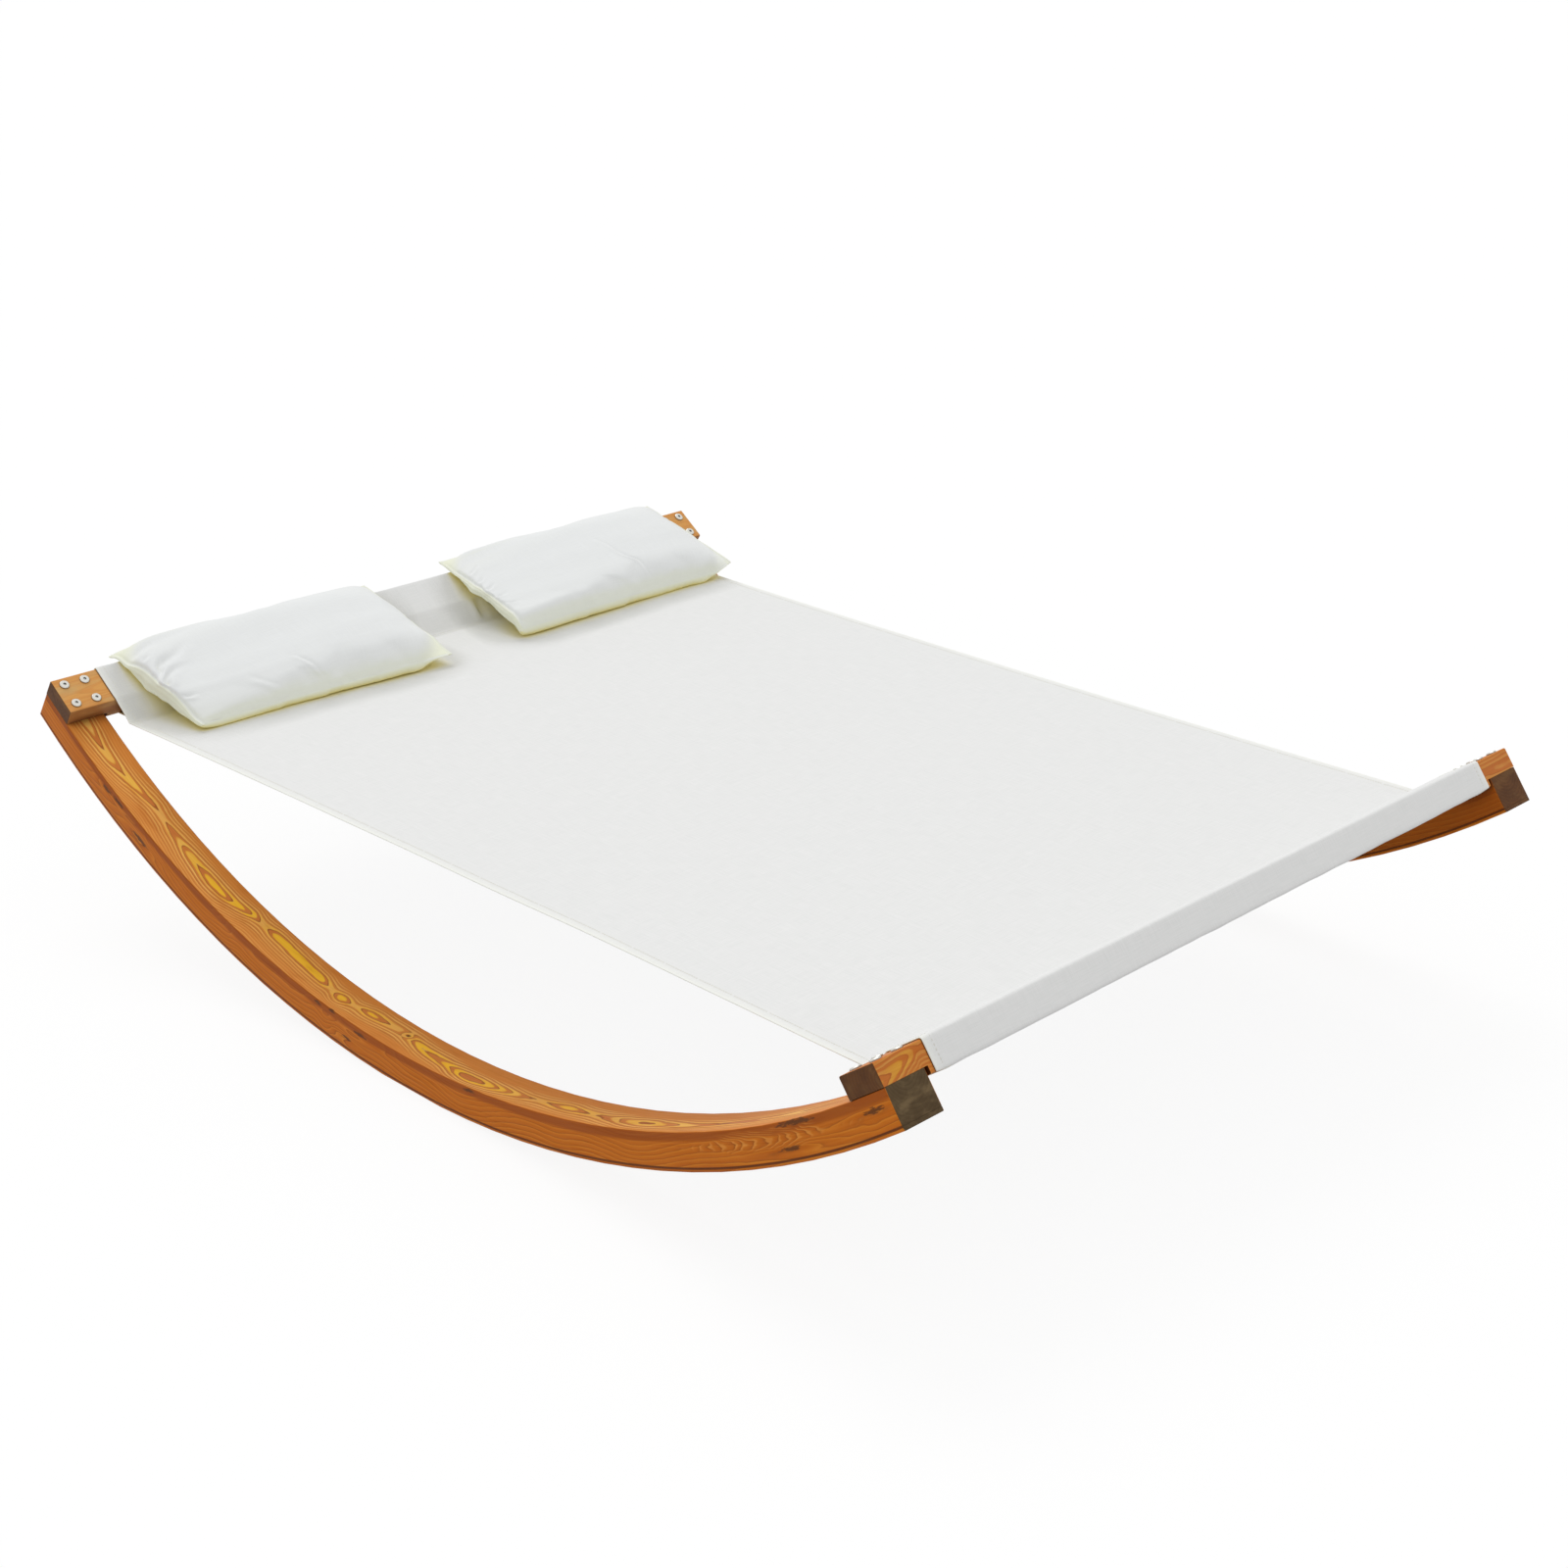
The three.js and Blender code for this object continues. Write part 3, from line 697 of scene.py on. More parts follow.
sling = {
    "thickness": 0.0009,
    "halfWidth": 0.617,
    "seamRight": 0.6135,  # half width along the stitch lines
    "seamLeft": 0.619,
    "bowRight": 0.007,  # how far each free edge is drawn in halfway
    "bowLeft": 0.012,
    "rim": 0.006,  # painted highlight along the folded edge, this wide
    "seamReach": 0.054,  # stitch line from the beam's lower inner corner
    "seamRise": 0.0005,
    "seamRound": 0.0002,  # radius of the sleeve's turn at the stitch line
    "arris": 0.0025,
    "offBeam": 0.00195,  # middle of the cloth from the beam's face
    "tuck": 0.018,  # turned under past the stitch line
    "tuckDrop": 0.001,
    "setBack": 0.019,  # how much narrower it runs under the beam
    "hem": 0.016,  # turned under at each side
    "hemEdge": 0.0045,  # from the folded edge to the first flat column
    "bedStep": 0.022,
    "sleeveStep": 0.006,
    "columns": 176,
    "pleatAt": 0.121,  # across, the fold in the head sleeve beside the left pillow
    "pleatHeight": 0.0055,
    "besideSeam": 0.032,  # stretch of the sleeve where the stitches pull and the pleat shows
}

stitch = {
    "length": 0.0032,
    "gap": 0.0013,
    "radius": 0.00028,
    "hemInset": 0.013,
    "seamInsets": (0.0035, 0.0115),
    "seamEnd": 0.004,  # from the bed's side to the first stitch
    "lowerLayer": 0.001,
}


# A belt drawn tight round circles, as an open run from the first circle to the last
def beltRun(circles, step):
    run = []
    normals = []
    for (centre, radius), (nextCentre, nextRadius) in zip(circles, circles[1:]):
        line = nextCentre - centre
        normals.append(math.atan2(line.y, line.x) - math.acos((radius - nextRadius) / line.length))
    for i, (centre, radius) in enumerate(circles):
        arrives = normals[max(i - 1, 0)]
        leaves = normals[min(i, len(normals) - 1)]
        turn = (leaves - arrives) % (2 * math.pi)
        steps = max(1, math.ceil(turn / math.radians(18))) if 0 < i < len(circles) - 1 else 0
        for k in range(steps + 1):
            angle = arrives + turn * k / max(steps, 1)
            run.append(centre + Vector((math.cos(angle), math.sin(angle))) * radius)
    filled = [run[0]]
    for start, point in zip(run, run[1:]):
        pieces = max(1, round((point - start).length / step))
        filled += [start.lerp(point, k / pieces) for k in range(1, pieces + 1)]
    return filled


# The sleeve's course round a beam in the XZ plane, from the stitch line under the bed back to it
def sleeveRun(end):
    axes = beamAxes(end)
    mirror = 1 if end == "foot" else -1

    def toPlane(across, over):
        place = axes["upward"] * across + axes["seatward"] * over
        return Vector((mirror * place.x, place.z))

    inset = sling["arris"]
    low, high = axes["low"] + inset, axes["high"] - inset
    under, top = axes["under"] + inset, axes["top"] - inset
    corner = toPlane(axes["low"], axes["under"])
    seam = Vector((corner.x - sling["seamReach"], corner.y + sling["seamRise"]))
    radius = inset + sling["offBeam"]
    circles = [(seam - Vector((0, sling["thickness"])), sling["seamRound"])]
    circles += [(toPlane(a, b), radius) for a, b in ((low, under), (high, under), (high, top), (low, top))]
    circles.append((seam, sling["seamRound"]))
    return beltRun(circles, sling["sleeveStep"]), seam


# The whole length from hem to hem: kind of stretch, point, length so far, and the direction of its face
def slingCourse():
    foot, seam = sleeveRun("foot")
    head, headSeam = sleeveRun("head")
    tuck, drop = sling["tuck"], sling["tuckDrop"]
    course = [("tuck", Vector((seam.x - tuck, seam.y - drop)))]
    course += [("foot", p) for p in foot]
    steps = round(2 * seam.x / sling["bedStep"])
    for k in range(1, steps):
        course.append(("bed", Vector((seam.x - 2 * seam.x * k / steps, seam.y))))
    course += [("head", Vector((-p.x, p.y))) for p in reversed(head)]
    course.append(("tuck", Vector((-(headSeam.x - tuck), headSeam.y - drop))))
    stations = []
    length = 0.0
    last = len(course) - 1
    for i, (kind, point) in enumerate(course):
        if i:
            length += (point - course[i - 1][1]).length
        line = course[min(i + 1, last)][1] - course[max(i - 1, 0)][1]
        stations.append((kind, point, length, Vector((line.y, 0, -line.x)).normalized()))
    return stations, seam


def easeUp(value):
    value = min(1.0, max(0.0, value))
    return value * value * (3 - 2 * value)


def swell(x, y, z, height):
    return noise(Vector((x, y, z))) * height


# How far the cloth stands off its tight course
def slack(kind, point, length, y, seam):
    if kind == "tuck":
        return 0.0
    if kind == "bed":
        broad = swell(point.x * 2.3 + y * 1.1, y * 3.1, 1.7, 0.0018)
        soft = swell(point.x * 0.9 + 4, y * 9.0, 5.2, 0.001)
        return (broad + soft) * easeUp((seam.x - abs(point.x)) / 0.12)
    ripple = swell(length * 6.0, y * 26.0, 3.1, 0.0007) + swell(length * 2.0, y * 7.0, 9.4, 0.0008)
    pastSeam = abs(point.x) - seam.x
    nearSeam = easeUp(pastSeam / 0.012)
    lift = max(ripple, -0.0005) * nearSeam
    if pastSeam < sling["besideSeam"] and point.y > seam.y + 0.0008:
        pull = swell(y * 11.0, 2.2, 0.6, 0.0022) + swell(y * 38.0, 5.0, 1.6, 0.0009)
        lift += pull * easeUp((sling["besideSeam"] - 0.002 - pastSeam) / 0.012) * nearSeam
        if kind == "head":
            off = y - sling["pleatAt"]
            ridge = math.exp(-(off / 0.005) ** 2) - 0.8 * math.exp(-((off - 0.012) / 0.008) ** 2)
            lift += ridge * sling["pleatHeight"] * easeUp((sling["besideSeam"] - pastSeam) / 0.01) * nearSeam
    return lift


def halfWidthAt(kind, point, length, face, side, seam):
    half = sling["seamLeft"] if side > 0 else sling["seamRight"]
    if kind == "tuck":
        return half - sling["setBack"]
    if kind == "bed":
        bow = sling["bowLeft"] if side > 0 else sling["bowRight"]
        bow += swell(point.x * 5, side * 3.0, 8.1, 0.0012)
        return half - bow * (1 - (point.x / seam.x) ** 2)
    reach = easeUp((abs(point.x) - seam.x) / 0.035)
    wobble = swell(length * 9, 2.0 + side, 0.4, 0.0012)
    setBack = sling["setBack"] * easeUp(-face.z / 0.5)
    return half + (sling["halfWidth"] - half + wobble) * reach - setBack


# The hem's turn: distance from the edge, and depth under the cloth
def sideFold():
    thick = sling["thickness"] + 0.0001
    turns = [(sling["hem"], 1.0), (sling["hem"] * 0.5, 1.0), (0.0012, 1.0), (0.0003, 0.85)]
    turns += [(0.0, 0.5), (0.0003, 0.15), (0.0012, 0.0)]
    return [(inset, share * thick) for inset, share in turns]


def onSling(station, y, off, seam):
    kind, point, length, face = station
    return Vector((point.x, y, point.y)) + face * (slack(kind, point, length, y, seam) + off)


def makeSling():
    stations, seam = slingCourse()
    fold = sideFold()
    width = 2 * sling["halfWidth"]
    flat, threads, paintedTintShare = [], [], []
    for station in stations:
        right, left = halfWidthAt(*station, -1, seam), halfWidthAt(*station, 1, seam)
        row = [(inset - right, under, inset - width / 2 - sling["hem"]) for inset, under in fold]
        start, end = sling["hemEdge"] - right, left - sling["hemEdge"]
        for k in range(sling["columns"] + 1):
            share = k / sling["columns"]
            row.append((start + (end - start) * share, 0.0, (share - 0.5) * width))
        row += [(left - inset, under, width / 2 + sling["hem"] - inset) for inset, under in reversed(fold)]
        for y, under, thread in row:
            flat.append(onSling(station, y, -under, seam))
            threads.append((thread, station[2], 0.0))
            # Painted highlight fading in from the side edges
            paintedTintShare.append(math.exp(-min(right + y, left - y) / sling["rim"]))
    columns = len(flat) // len(stations)
    faces = []
    for i in range(len(stations) - 1):
        for j in range(columns - 1):
            a = i * columns + j
            faces.append((a, a + columns, a + columns + 1, a + 1))
    piece = makeMesh("canvas_sling", flat, faces)
    mark(piece, threads, paintedTintShare)
    shell = piece.modifiers.new("cloth", "SOLIDIFY")
    shell.thickness = sling["thickness"]
    shell.offset = 0
    applyModifiers(piece)
    piece.data.materials.append(clothMaterial("canvas"))
    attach(piece, "stand")
    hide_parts("sling")
    thread = makeStitches(stations, seam)


# One stitch: a short bead of thread that dips into the cloth at both ends
def addStitch(points, faces, start, end, face, below):
    line = (end - start).normalized()
    wide = line.cross(face).normalized()
    base = len(points)
    for share, rise in ((0.0, -0.4), (0.25, 0.6), (0.75, 0.6), (1.0, -0.4)):
        centre = start.lerp(end, share) + face * (rise * stitch["radius"] + below)
        for k in range(5):
            angle = 2 * math.pi * k / 5
            points.append(centre + (wide * math.cos(angle) + face * math.sin(angle)) * stitch["radius"])
    for ring in range(3):
        for k in range(5):
            a, b = base + ring * 5 + k, base + ring * 5 + (k + 1) % 5
            faces.append((a, b, b + 5, a + 5))
    faces.append(tuple(base + k for k in reversed(range(5))))
    faces.append(tuple(base + 15 + k for k in range(5)))


# Stitches along a path, on both faces of the cloth
def stitchRow(points, faces, path):
    half = sling["thickness"] / 2
    carried = 0.0
    for (start, face), (end, nextFace) in zip(path, path[1:]):
        span = (end - start).length
        while carried + stitch["length"] <= span and span > 0:
            a = start.lerp(end, carried / span)
            b = start.lerp(end, (carried + stitch["length"]) / span)
            upward = face.lerp(nextFace, 0.5).normalized()
            addStitch(points, faces, a, b, upward, half)
            addStitch(points, faces, a, b, -upward, half + stitch["lowerLayer"])
            carried += stitch["length"] + stitch["gap"]
        carried = max(0.0, carried - span)


def makeStitches(stations, seam):
    points, faces = [], []
    for side in (-1, 1):
        path = []
        for station in stations[1:-1]:
            edge = halfWidthAt(*station, side, seam) - stitch["hemInset"]
            path.append((onSling(station, side * edge, 0.0, seam), station[3]))
        stitchRow(points, faces, coarser(path))
    span = sling["seamRight"] - stitch["seamEnd"]
    for end in (-1, 1):
        for inset in stitch["seamInsets"]:
            x = end * (seam.x - inset)
            path = [(Vector((x, -span + 2 * span * k / 60, seam.y)), Vector((0, 0, 1))) for k in range(61)]
            stitchRow(points, faces, path)
    piece = makeMesh("sling_stitching", points, faces)
    piece.data.materials.append(sewingThread())
    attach(piece, "stand")
    return piece


# Stations less than a stitch apart are passed over
def coarser(path):
    kept = [path[0]]
    for place, face in path[1:]:
        if (place - kept[-1][0]).length > stitch["length"] * 1.05:
            kept.append((place, face))
    return kept


def sewingThread():
    material, tree = newTree("sewing_thread")
    twist = grain(objectPlace(tree), 2600)
    colour = blend(between(twist, 0.3, 0.7), tint(240, 238, 226), tint(226, 222, 204))
    surface(colour, 0.7, twist, 0.2, 0.0001, Specular_IOR_Level=0.25)
    return material


makeSling()
print("sling made")


# Pillows: two cotton panels sewn round the edge, blown up as cloth, then laid against the head beam

pillow = {
    "length": 0.515,
    "width": 0.255,
    "crown": 0.064,  # upper panel's height over the seam
    "belly": 0.042,
    "columns": 72,
    "rows": 36,
    "cutLarger": 1.07,  # flat panels against the finished size
    "layerShift": 0.7,  # keeps the two panels' thread places apart
    "flatApart": 0.012,  # half the gap between the flat panels before they are blown up
    "blowFrames": 30,
    "fullness": 0.46,
    "seamLip": 0.0011,  # half the thickness of the sewn edge
    "flatTop": 0.0465,  # the stuffing levels out at this height
    # Upper panel's height at three edges, and the steepest rise from there
    "rise": {"left": (0.001, 0.72), "right": (0.008, 0.12), "head": (0.0095, 0.7)},
    # Lower panel past the sewn edge, and how far in
    "bellyOut": {"right": (0.006, 0.012), "foot": (0.005, 0.009)},
    "deeperFromRight": 0.25,  # slope of the lower panel's greatest depth, from each end
    "deeperFromLeft": 0.32,
    "depthAtLeft": 0.004,
    "edgeRidge": 0.0011,  # sewn edge's ridge, and the groove inside it
    "edgeGroove": 0.0014,
    "bellyEdge": 0.007,  # how soon the lower panel drops from the sewn edge
    "evenTurns": 24,
    "clearOfBed": 0.0012,  # lower panel; the sewn edge and the upper panel keep more
    "clearSeam": 0.0011,
    "clearUpper": 0.0022,
}

# For each pillow: corners of the sewn edge as head right, head left, foot right, foot left; how far its sides
# bow in; their lift, halfway or at shares of the side, and the lower panel's depth along the right end, in
# millimetres; flat ears as end, side, reach and share of painted shade tint; creases in millimetres, as along
# and across at the start and the end, width and depth; gathers at the ends.
pillowPlaces = {
    "right": {
        "corners": [
            (-0.955, -0.582, 0.407), (-0.955, -0.055, 0.414), (-0.72, -0.555, 0.34), (-0.692, -0.059, 0.346),
        ],
        "bow": {"head": 0.004, "foot": 0.003, "right": 0.003, "left": 0.001},
        "lift": {
            "head": [(0, 0), (0.03, 5), (0.08, 8), (0.3, 5), (0.6, 3), (1, 0)],
            "foot": 0, "left": 2,
            "right": [
                (0, 0), (0.1, 7), (0.2, 11), (0.3, 16), (0.4, 18), (0.6, 16), (0.7, 16.5), (0.76, 8),
                (0.9, 1.5), (1, 0),
            ],
        },
        "endDepth": [
            (0, 1), (0.1, 4), (0.2, 11), (0.3, 20), (0.4, 25), (0.7, 27), (0.8, 17), (0.9, 9), (1, 9),
        ],
        "ears": [(1, 1, 0.072, 1.0), (-1, -1, 0.068, 1.0), (1, -1, 0.03, 0.4)],
        "creases": [
            (-248, -70, -180, -74, 9, 4), (-256, 4, -135, -40, 8, 7.5), (-256, 34, -170, -10, 6.5, 6),
            (-246, 62, -205, 60, 3.5, 2.5), (-30, 36, 0, 104, 3.5, 2), (-244, -40, -205, -46, 3.5, 2),
            (-120, 52, -85, 98, 6, 1.2),
        ],
        "gathers": {"right": 0.0012, "left": 0.0008},
        "seed": 3.0,
    },
    "left": {
        "corners": [
            (-0.961, 0.113, 0.418), (-0.96, 0.635, 0.419), (-0.708, 0.104, 0.341), (-0.713, 0.634, 0.356),
        ],
        "bow": {"head": 0.004, "foot": 0.003, "right": 0.003, "left": 0.001},
        "lift": {
            "head": 2, "left": 1,
            "foot": [(0, 0), (0.5, -4), (0.85, -11), (0.92, -13), (0.97, -6), (1, 0)],
            "right": [
                (0, 0), (0.2, 5), (0.3, 6.6), (0.4, 9.4), (0.5, 14.5), (0.7, 18), (0.9, 21), (0.96, 16), (1, 0),
            ],
        },
        "endDepth": [(0, 1), (0.2, 3), (0.3, 4), (0.4, 7), (0.5, 11), (0.7, 16), (0.9, 21), (1, 36)],
        "ears": [(-1, -1, 0.06, 1.0), (1, 1, 0.06, 0.4), (1, -1, 0.03, 0.4)],
        "creases": [
            (12, -10, 62, 108, 3.2, 3), (-246, -40, -190, -46, 3.2, 2.2), (-248, -12, -198, -16, 3, 2.4),
            (-248, 16, -192, 10, 2.8, 2.2), (-247, 42, -200, 36, 3, 2.2), (-246, 66, -205, 66, 2.8, 1.8),
        ],
        "gathers": {"right": 0.0022, "left": 0.0008},
        "seed": 8.0,
    },
}


# Both panels' grid points as column, row and layer, where the rim's points belong to both
def pillowGrid():
    columns, rows = pillow["columns"], pillow["rows"]
    keys, index = [], {}
    for layer in (1, -1):
        for i in range(columns + 1):
            for j in range(rows + 1):
                rim = i in (0, columns) or j in (0, rows)
                if rim and layer < 0:
                    continue
                index[(i, j, layer)] = len(keys)
                keys.append((i, j, 0 if rim else layer))
    faces = []
    for layer in (1, -1):
        for i in range(columns):
            for j in range(rows):
                corners = ((i, j), (i, j + 1), (i + 1, j + 1), (i + 1, j))
                quad = [index.get((a, b, layer), index.get((a, b, 1))) for a, b in corners]
                faces.append(tuple(quad if layer > 0 else quad[::-1]))
    return np.array(keys, float), faces


# Each point's share of the way from right to left and from head to foot
def shares(keys):
    return keys[:, 0] / pillow["columns"], keys[:, 1] / pillow["rows"]


def flatPanels(keys):
    u, v = shares(keys)
    s, t = 2 * u - 1, 2 * v - 1
    size = pillow["cutLarger"] / 2
    apart = np.sqrt(np.clip((1 - s ** 4) * (1 - t ** 4), 0, 1))
    return np.column_stack([
        pillow["width"] * size * t, pillow["length"] * size * s, keys[:, 2] * pillow["flatApart"] * apart])


def inflate(piece):
    modifier = piece.modifiers.new("cotton", "CLOTH")
    settings = modifier.settings
    settings.quality = 6
    settings.mass = 0.25
    settings.tension_stiffness = 8
    settings.compression_stiffness = 8
    settings.shear_stiffness = 3
    settings.bending_stiffness = 0.8
    settings.air_damping = 2.0
    settings.use_pressure = True
    settings.uniform_pressure_force = 4.0
    settings.effector_weights.gravity = 0
    modifier.point_cache.frame_start = 1
    modifier.point_cache.frame_end = pillow["blowFrames"]
    for step in range(1, pillow["blowFrames"] + 1):
        scene.frame_set(step)
    applyModifiers(piece)
    scene.frame_set(1)


# A surface stretched between the four sewn edges of a panel
def acrossEdges(keys, edge):
    u, v = [share[:, None] for share in shares(keys)]
    i, j = keys[:, 0].astype(int), keys[:, 1].astype(int)
    ends = (1 - u) * edge["right"][j] + u * edge["left"][j]
    sides = (1 - v) * edge["head"][i] + v * edge["foot"][i]
    corners = (1 - u) * (1 - v) * edge["head"][0] + u * (1 - v) * edge["head"][-1]
    corners = corners + (1 - u) * v * edge["foot"][0] + u * v * edge["foot"][-1]
    return ends + sides - corners


# The grid's points come in order along each edge
def edgesOf(keys, points):
    edges = {"head": (1, 0), "foot": (1, pillow["rows"]), "right": (0, 0), "left": (0, pillow["columns"])}
    return {name: points[keys[:, axis] == place] for name, (axis, place) in edges.items()}


def sewnEdges(placing):
    headRight, headLeft, footRight, footLeft = [np.array(c) for c in placing["corners"]]
    spans = {
        "head": (headRight, headLeft, (1, 0, 0)), "foot": (footRight, footLeft, (-1, 0, 0)),
        "right": (headRight, footRight, (0, 1, 0)), "left": (headLeft, footLeft, (0, -1, 0)),
    }
    edges = {}
    for name, (start, end, inward) in spans.items():
        count = pillow["columns"] if name in ("head", "foot") else pillow["rows"]
        line = []
        for k in range(count + 1):
            share = k / count
            arch = 4 * share * (1 - share)
            fade = min(1, arch * 3)
            wave = swell(share * 7, placing["seed"], len(name), 0.0035) * fade
            drift = swell(share * 6, placing["seed"] + 5, len(name), 0.003) * fade
            point = start + (end - start) * share
            point = point + np.array(inward) * (placing["bow"][name] * arch + drift)
            lift = placing["lift"][name]
            rise = np.interp(share, *zip(*lift)) if isinstance(lift, list) else lift * arch
            point[2] += rise / 1000 + (wave if name in ("right", "left") else abs(wave) * 0.3)
            line.append(point)
        edges[name] = np.array(line)
    return edges


# The stuffing rises gently from the ends and levels out on top
def levelled(keys, bulge):
    share, cross = shares(keys)
    away = {
        "left": (1 - share) * pillow["length"] - bulge[:, 1],
        "right": share * pillow["length"] + bulge[:, 1],
        "head": cross * pillow["width"] + bulge[:, 0],
    }
    limits = [np.maximum(bulge[:, 2], 0.0001), np.full(len(keys), pillow["flatTop"])]
    limits += [start + slope * np.maximum(away[edge], 0) for edge, (start, slope) in pillow["rise"].items()]
    eased = sum(limit ** -5 for limit in limits) ** -0.2
    return np.where(bulge[:, 2] > 0, eased, bulge[:, 2])


# Evens out the blown panels along their length, most near the head edge
def softened(keys, bulge):
    columns, rows = pillow["columns"], pillow["rows"]
    i, j = keys[:, 0].astype(int), keys[:, 1].astype(int)
    result = bulge.copy()
    for layer in (1, -1):
        at = keys[:, 2] == layer
        even = np.zeros((columns + 1, rows + 1, 3))
        even[i[at], j[at]] = bulge[at]
        for turn in range(pillow["evenTurns"]):
            even[1:-1] = (even[:-2] + 2 * even[1:-1] + even[2:]) / 4
        share = (0.92 - 0.45 * j[at] / rows)[:, None]
        result[at] = bulge[at] * (1 - share) + even[i[at], j[at]] * share
    return result


# The lower panel swells out past the sewn edge at the right end and along the foot
def belliedOut(keys, bulge):
    share, cross = shares(keys)
    result = bulge.copy()
    for edge, axis, sign, inward, beside in (
            ("right", 1, -1, share * pillow["length"], cross),
            ("foot", 0, 1, (1 - cross) * pillow["width"], share)):
        out, reach = pillow["bellyOut"][edge]
        fade = np.clip(4 * beside * (1 - beside), 0, 1) ** 0.4
        amount = out * inward / reach * np.exp(1 - inward / reach) * fade
        result[:, axis] += np.where(keys[:, 2] < 0, sign * amount, 0)
    return result


def fromCorner(along, across, end, side):
    return np.abs(along - end * pillow["length"] / 2) + np.abs(across - side * pillow["width"] / 2)


# Flat corners: the stuffing does not reach them
def easedEars(keys, ears):
    u, v = shares(keys)
    along, across = (u - 0.5) * pillow["length"], (v - 0.5) * pillow["width"]
    share = np.ones(len(keys))
    for end, side, reach, shade in ears:
        away = np.clip(fromCorner(along, across, end, side) / reach, 0, 1.6) / 1.6
        share *= 0.12 + 0.88 * away * away * (3 - 2 * away)
    return share


# How far the upper panel stands out or in: creases, gathers, fine unevenness, and the sewn edge's ridge
def creaseDepths(placing, along, across, upper):
    push = np.zeros(len(along))
    for startAlong, startAcross, endAlong, endAcross, width, depth in np.array(placing["creases"]) / 1000:
        start = np.array([startAlong, startAcross])
        line = np.array([endAlong, endAcross]) - start
        length = np.linalg.norm(line)
        line /= length
        off = np.column_stack([along, across]) - start
        run = off @ line
        beside = off @ np.array([-line[1], line[0]]) + 0.002 * np.sin(run * 90 + startAlong * 40)
        fade = np.clip(run / (length * 0.35), 0, 1) * np.clip((length - run) / (length * 0.45), 0, 1)
        ridge = np.exp(-((beside - 1.7 * width) / (1.1 * width)) ** 2)
        push += depth * fade * (0.6 * ridge - np.exp(-(beside / width) ** 2))
    for side, height in placing["gathers"].items():
        fromSeam = pillow["length"] / 2 + (along if side == "right" else -along)
        comb = np.array([
            swell(a * 62, placing["seed"], 2.0 + len(side), 1) + swell(a * 130, f * 20, placing["seed"], 0.5)
            for a, f in zip(across, fromSeam)])
        push += height * comb * np.exp(-fromSeam / 0.03) * np.clip(fromSeam / 0.008, 0, 1)
    push += np.array([swell(x * 16, y * 16, placing["seed"], 0.0012) for x, y in zip(across, along)])
    end = pillow["length"] / 2 - np.abs(along)
    edge = np.minimum(pillow["width"] / 2 - np.abs(across), end)
    push *= np.clip((edge - 0.004) / 0.012, 0, 1) * upper
    push += pillow["edgeRidge"] * np.exp(-((end - 0.003) / 0.002) ** 2)
    push -= pillow["edgeGroove"] * np.exp(-((end - 0.0085) / 0.0024) ** 2)
    return push


# Presses the creases in along the panel's own normals, and marks where the cotton takes the painted shade tint
def pressCreases(piece, placing):
    mesh = piece.data
    where, normals = np.empty((2, len(mesh.vertices) * 3), np.float32)
    mesh.attributes["threadPlace"].data.foreach_get("vector", where)
    mesh.vertices.foreach_get("normal", normals)
    where, normals = [values.reshape(-1, 3).astype(float) for values in (where, normals)]
    shift = pillow["layerShift"]
    across = (where[:, 0] - np.round(where[:, 0] / shift) * shift) / pillow["cutLarger"]
    along = where[:, 1] / pillow["cutLarger"]
    upper = np.clip(where[:, 0] / shift, 0, 1)
    points = meshPoints(piece) + normals * creaseDepths(placing, along, across, upper)[:, None]
    height = points[:, 2] - groundHeight(points[:, 0])
    fromEnd = pillow["length"] / 2 - np.abs(along)
    # Painted cream shade tint: low over the bed, along the ends, at the ears and on the lower panel
    paintedTintShare = np.maximum(np.exp(-np.maximum(height, 0) / 0.016) * 0.9, np.exp(-(fromEnd / 0.0065) ** 2))
    for end, side, reach, shade in placing["ears"]:
        away = fromCorner(along, across, end, side) / (reach * 1.1)
        paintedTintShare = np.maximum(paintedTintShare, shade * np.exp(-away ** 4))
    mark(piece, paintedTintShare=np.where(upper > 0.5, paintedTintShare, 0.8))
    mesh.vertices.foreach_set("co", points.astype(np.float32).ravel())
    mesh.update()


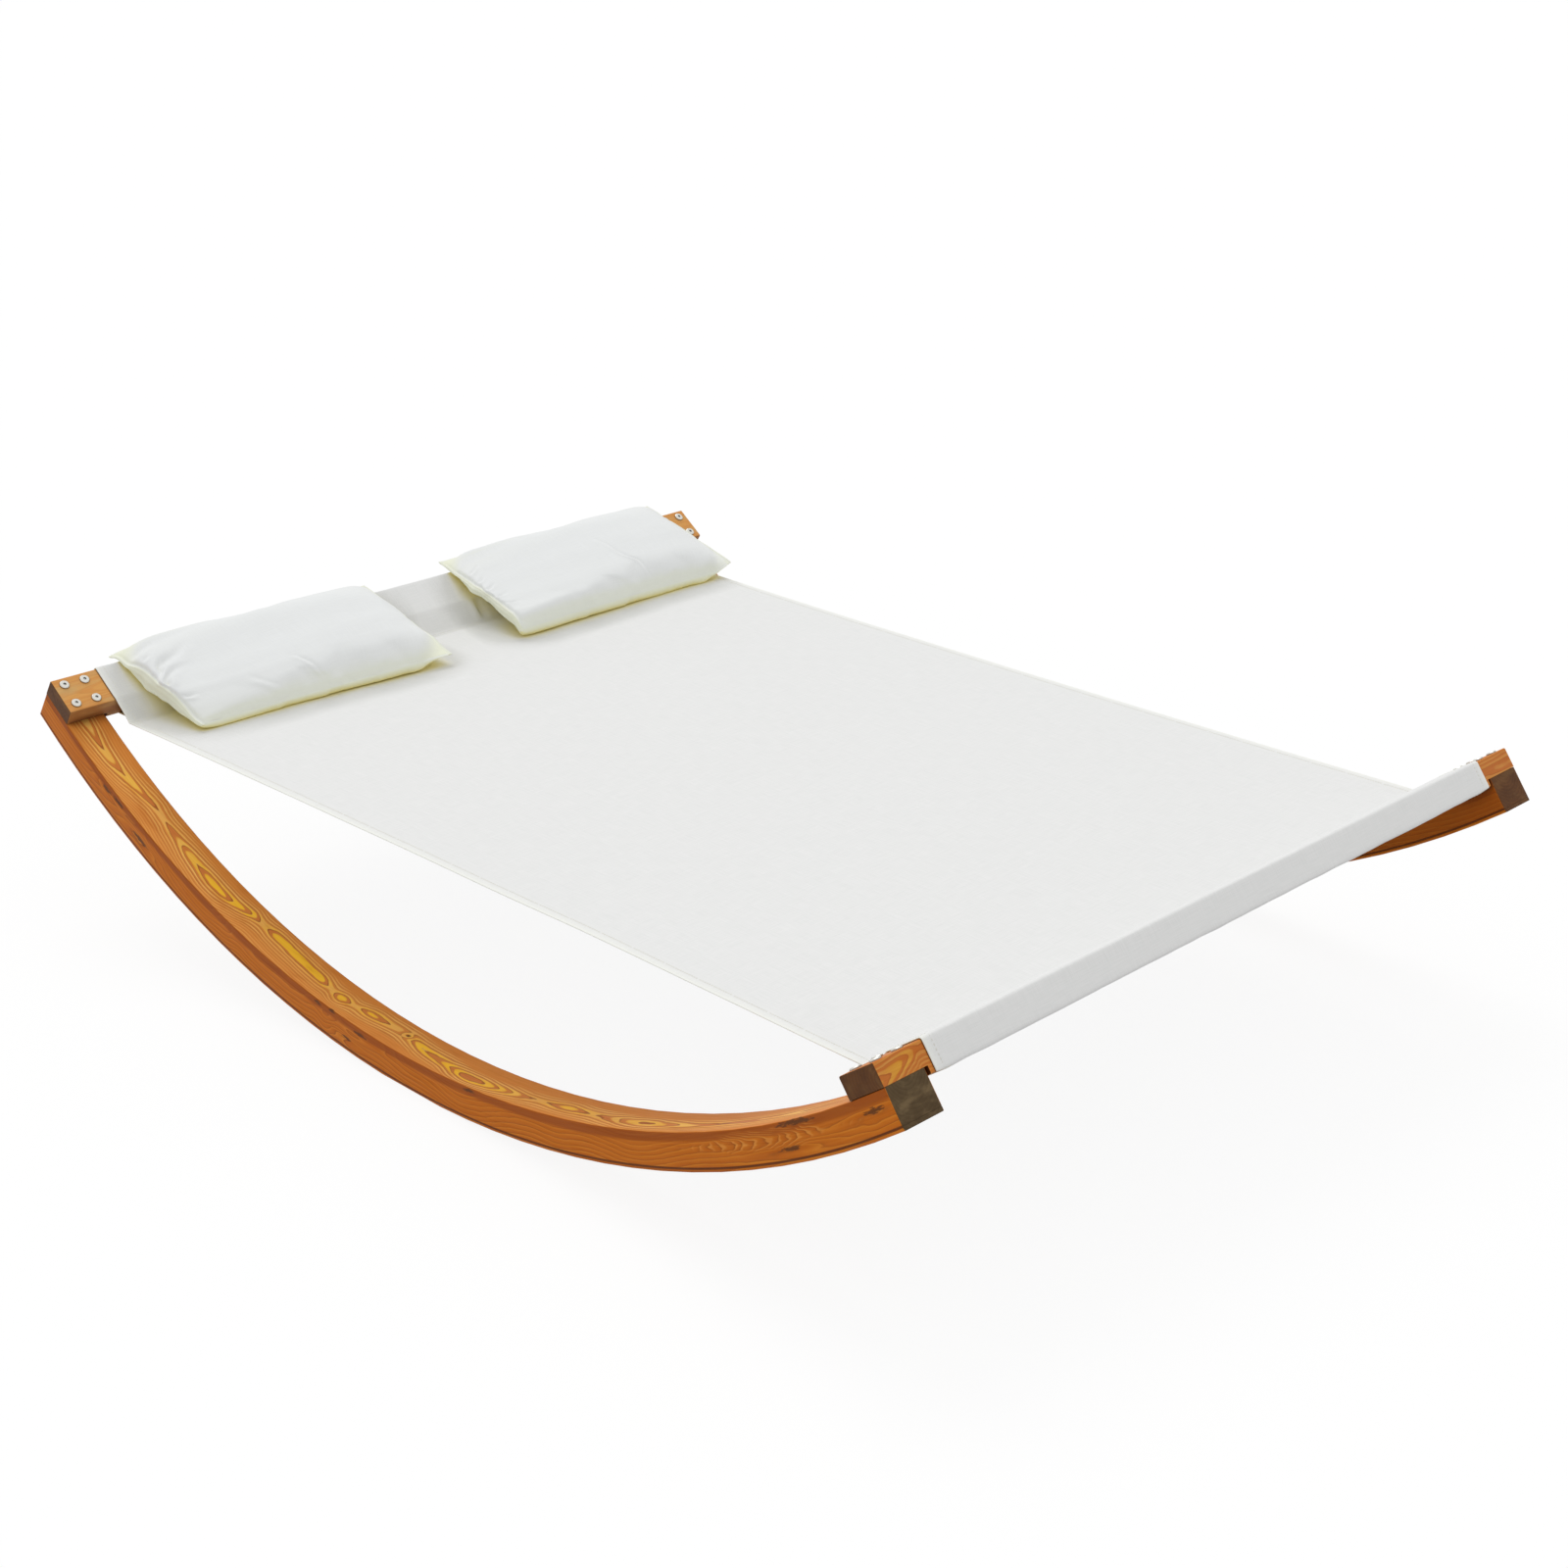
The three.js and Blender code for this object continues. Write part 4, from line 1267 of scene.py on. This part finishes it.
# How far both panels stand out from the surface between their sewn edges
def shapedBulge(keys, points, placing):
    columns, rows = pillow["columns"], pillow["rows"]
    bulge = points - acrossEdges(keys, edgesOf(keys, points))
    upper, lower = bulge[:, 2].max(), -bulge[:, 2].min()
    bulge[:, 2] *= np.where(bulge[:, 2] > 0, pillow["crown"] / upper, pillow["belly"] / lower)
    bulge = softened(keys, bulge)
    bulge[:, 2] = levelled(keys, bulge)
    column, row = pillow["length"] / columns, pillow["width"] / rows
    fromRight = keys[:, 0] * column
    inward = np.minimum(np.minimum(keys[:, 0], columns - keys[:, 0]) * column, (rows - keys[:, 1]) * row)
    atEnd = np.interp(keys[:, 1] / rows, *zip(*placing["endDepth"])) / 1000
    depth = np.minimum.reduce([
        atEnd + pillow["deeperFromRight"] * fromRight,
        pillow["depthAtLeft"] + pillow["deeperFromLeft"] * (pillow["length"] - fromRight),
        np.full(len(keys), pillow["belly"])])
    sagging = -depth * (1 - np.exp(-inward / pillow["bellyEdge"]))
    bulge[:, 2] = np.where(keys[:, 2] < 0, np.minimum(bulge[:, 2], sagging), bulge[:, 2])
    bulge *= easedEars(keys, placing["ears"])[:, None]
    inset = np.minimum.reduce([keys[:, 0], keys[:, 1], columns - keys[:, 0], rows - keys[:, 1]])
    lip = (inset == 1) & ((keys[:, 2] > 0) | (keys[:, 1] < 2))
    bulge[lip, 2] = keys[lip, 2] * pillow["seamLip"]
    return belliedOut(keys, bulge)


def makePillow(side):
    placing = pillowPlaces[side]
    keys, faces = pillowGrid()
    flat = flatPanels(keys)
    piece = makeMesh("pillow_" + side, flat, faces)
    mark(piece, flat + np.outer(keys[:, 2], (pillow["layerShift"], 0, 0)))
    inflate(piece)
    bulge = shapedBulge(keys, meshPoints(piece), placing)

    headRight, headLeft, footRight, footLeft = [np.array(c) for c in placing["corners"]]
    footward = footRight + footLeft - headRight - headLeft
    footward /= np.linalg.norm(footward)
    upward = np.cross(footward, headLeft + footLeft - headRight - footRight)
    upward /= np.linalg.norm(upward)
    leftward = np.cross(upward, footward)
    points = acrossEdges(keys, sewnEdges(placing)) + bulge @ np.array([footward, leftward, upward])
    clear = np.where(keys[:, 2] > 0, pillow["clearUpper"], np.where(keys[:, 2] == 0, pillow["clearSeam"], 0))
    points[:, 2] = np.maximum(points[:, 2], groundHeight(points[:, 0]) + pillow["clearOfBed"] + clear)
    piece.data.vertices.foreach_set("co", points.astype(np.float32).ravel())
    piece.data.update()
    smooth = piece.modifiers.new("smooth", "SUBSURF")
    smooth.levels = 2
    smooth.render_levels = 2
    applyModifiers(piece)
    pressCreases(piece, placing)
    piece.data.materials.append(cottonMaterial)
    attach(piece, "pillow_" + side)
    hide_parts("pillow_cover_" + side, "pillow_filling_" + side)


# Top of the bed and the head sleeve at each place along
def groundHeight(xs):
    run, seam = sleeveRun("head")
    outline = [(-p.x, p.y) for p in run if p.y > seam.y - 0.0005]
    outline += [(-seam.x + 0.001, seam.y), (1.0, seam.y)]
    along, high = np.array(sorted(outline)).T
    heights = np.interp(xs, along, high)
    heights[xs < along.min()] = -1.0
    return heights + sling["thickness"] / 2


cottonMaterial = clothMaterial("cotton")
for side in ("right", "left"):
    makePillow(side)
print("pillows made")


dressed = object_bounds()
made, packed = [[round(v, 4) for v in box[1] - box[0]] for box in (dressed, cadBox)]
print("size", made, "against", packed)
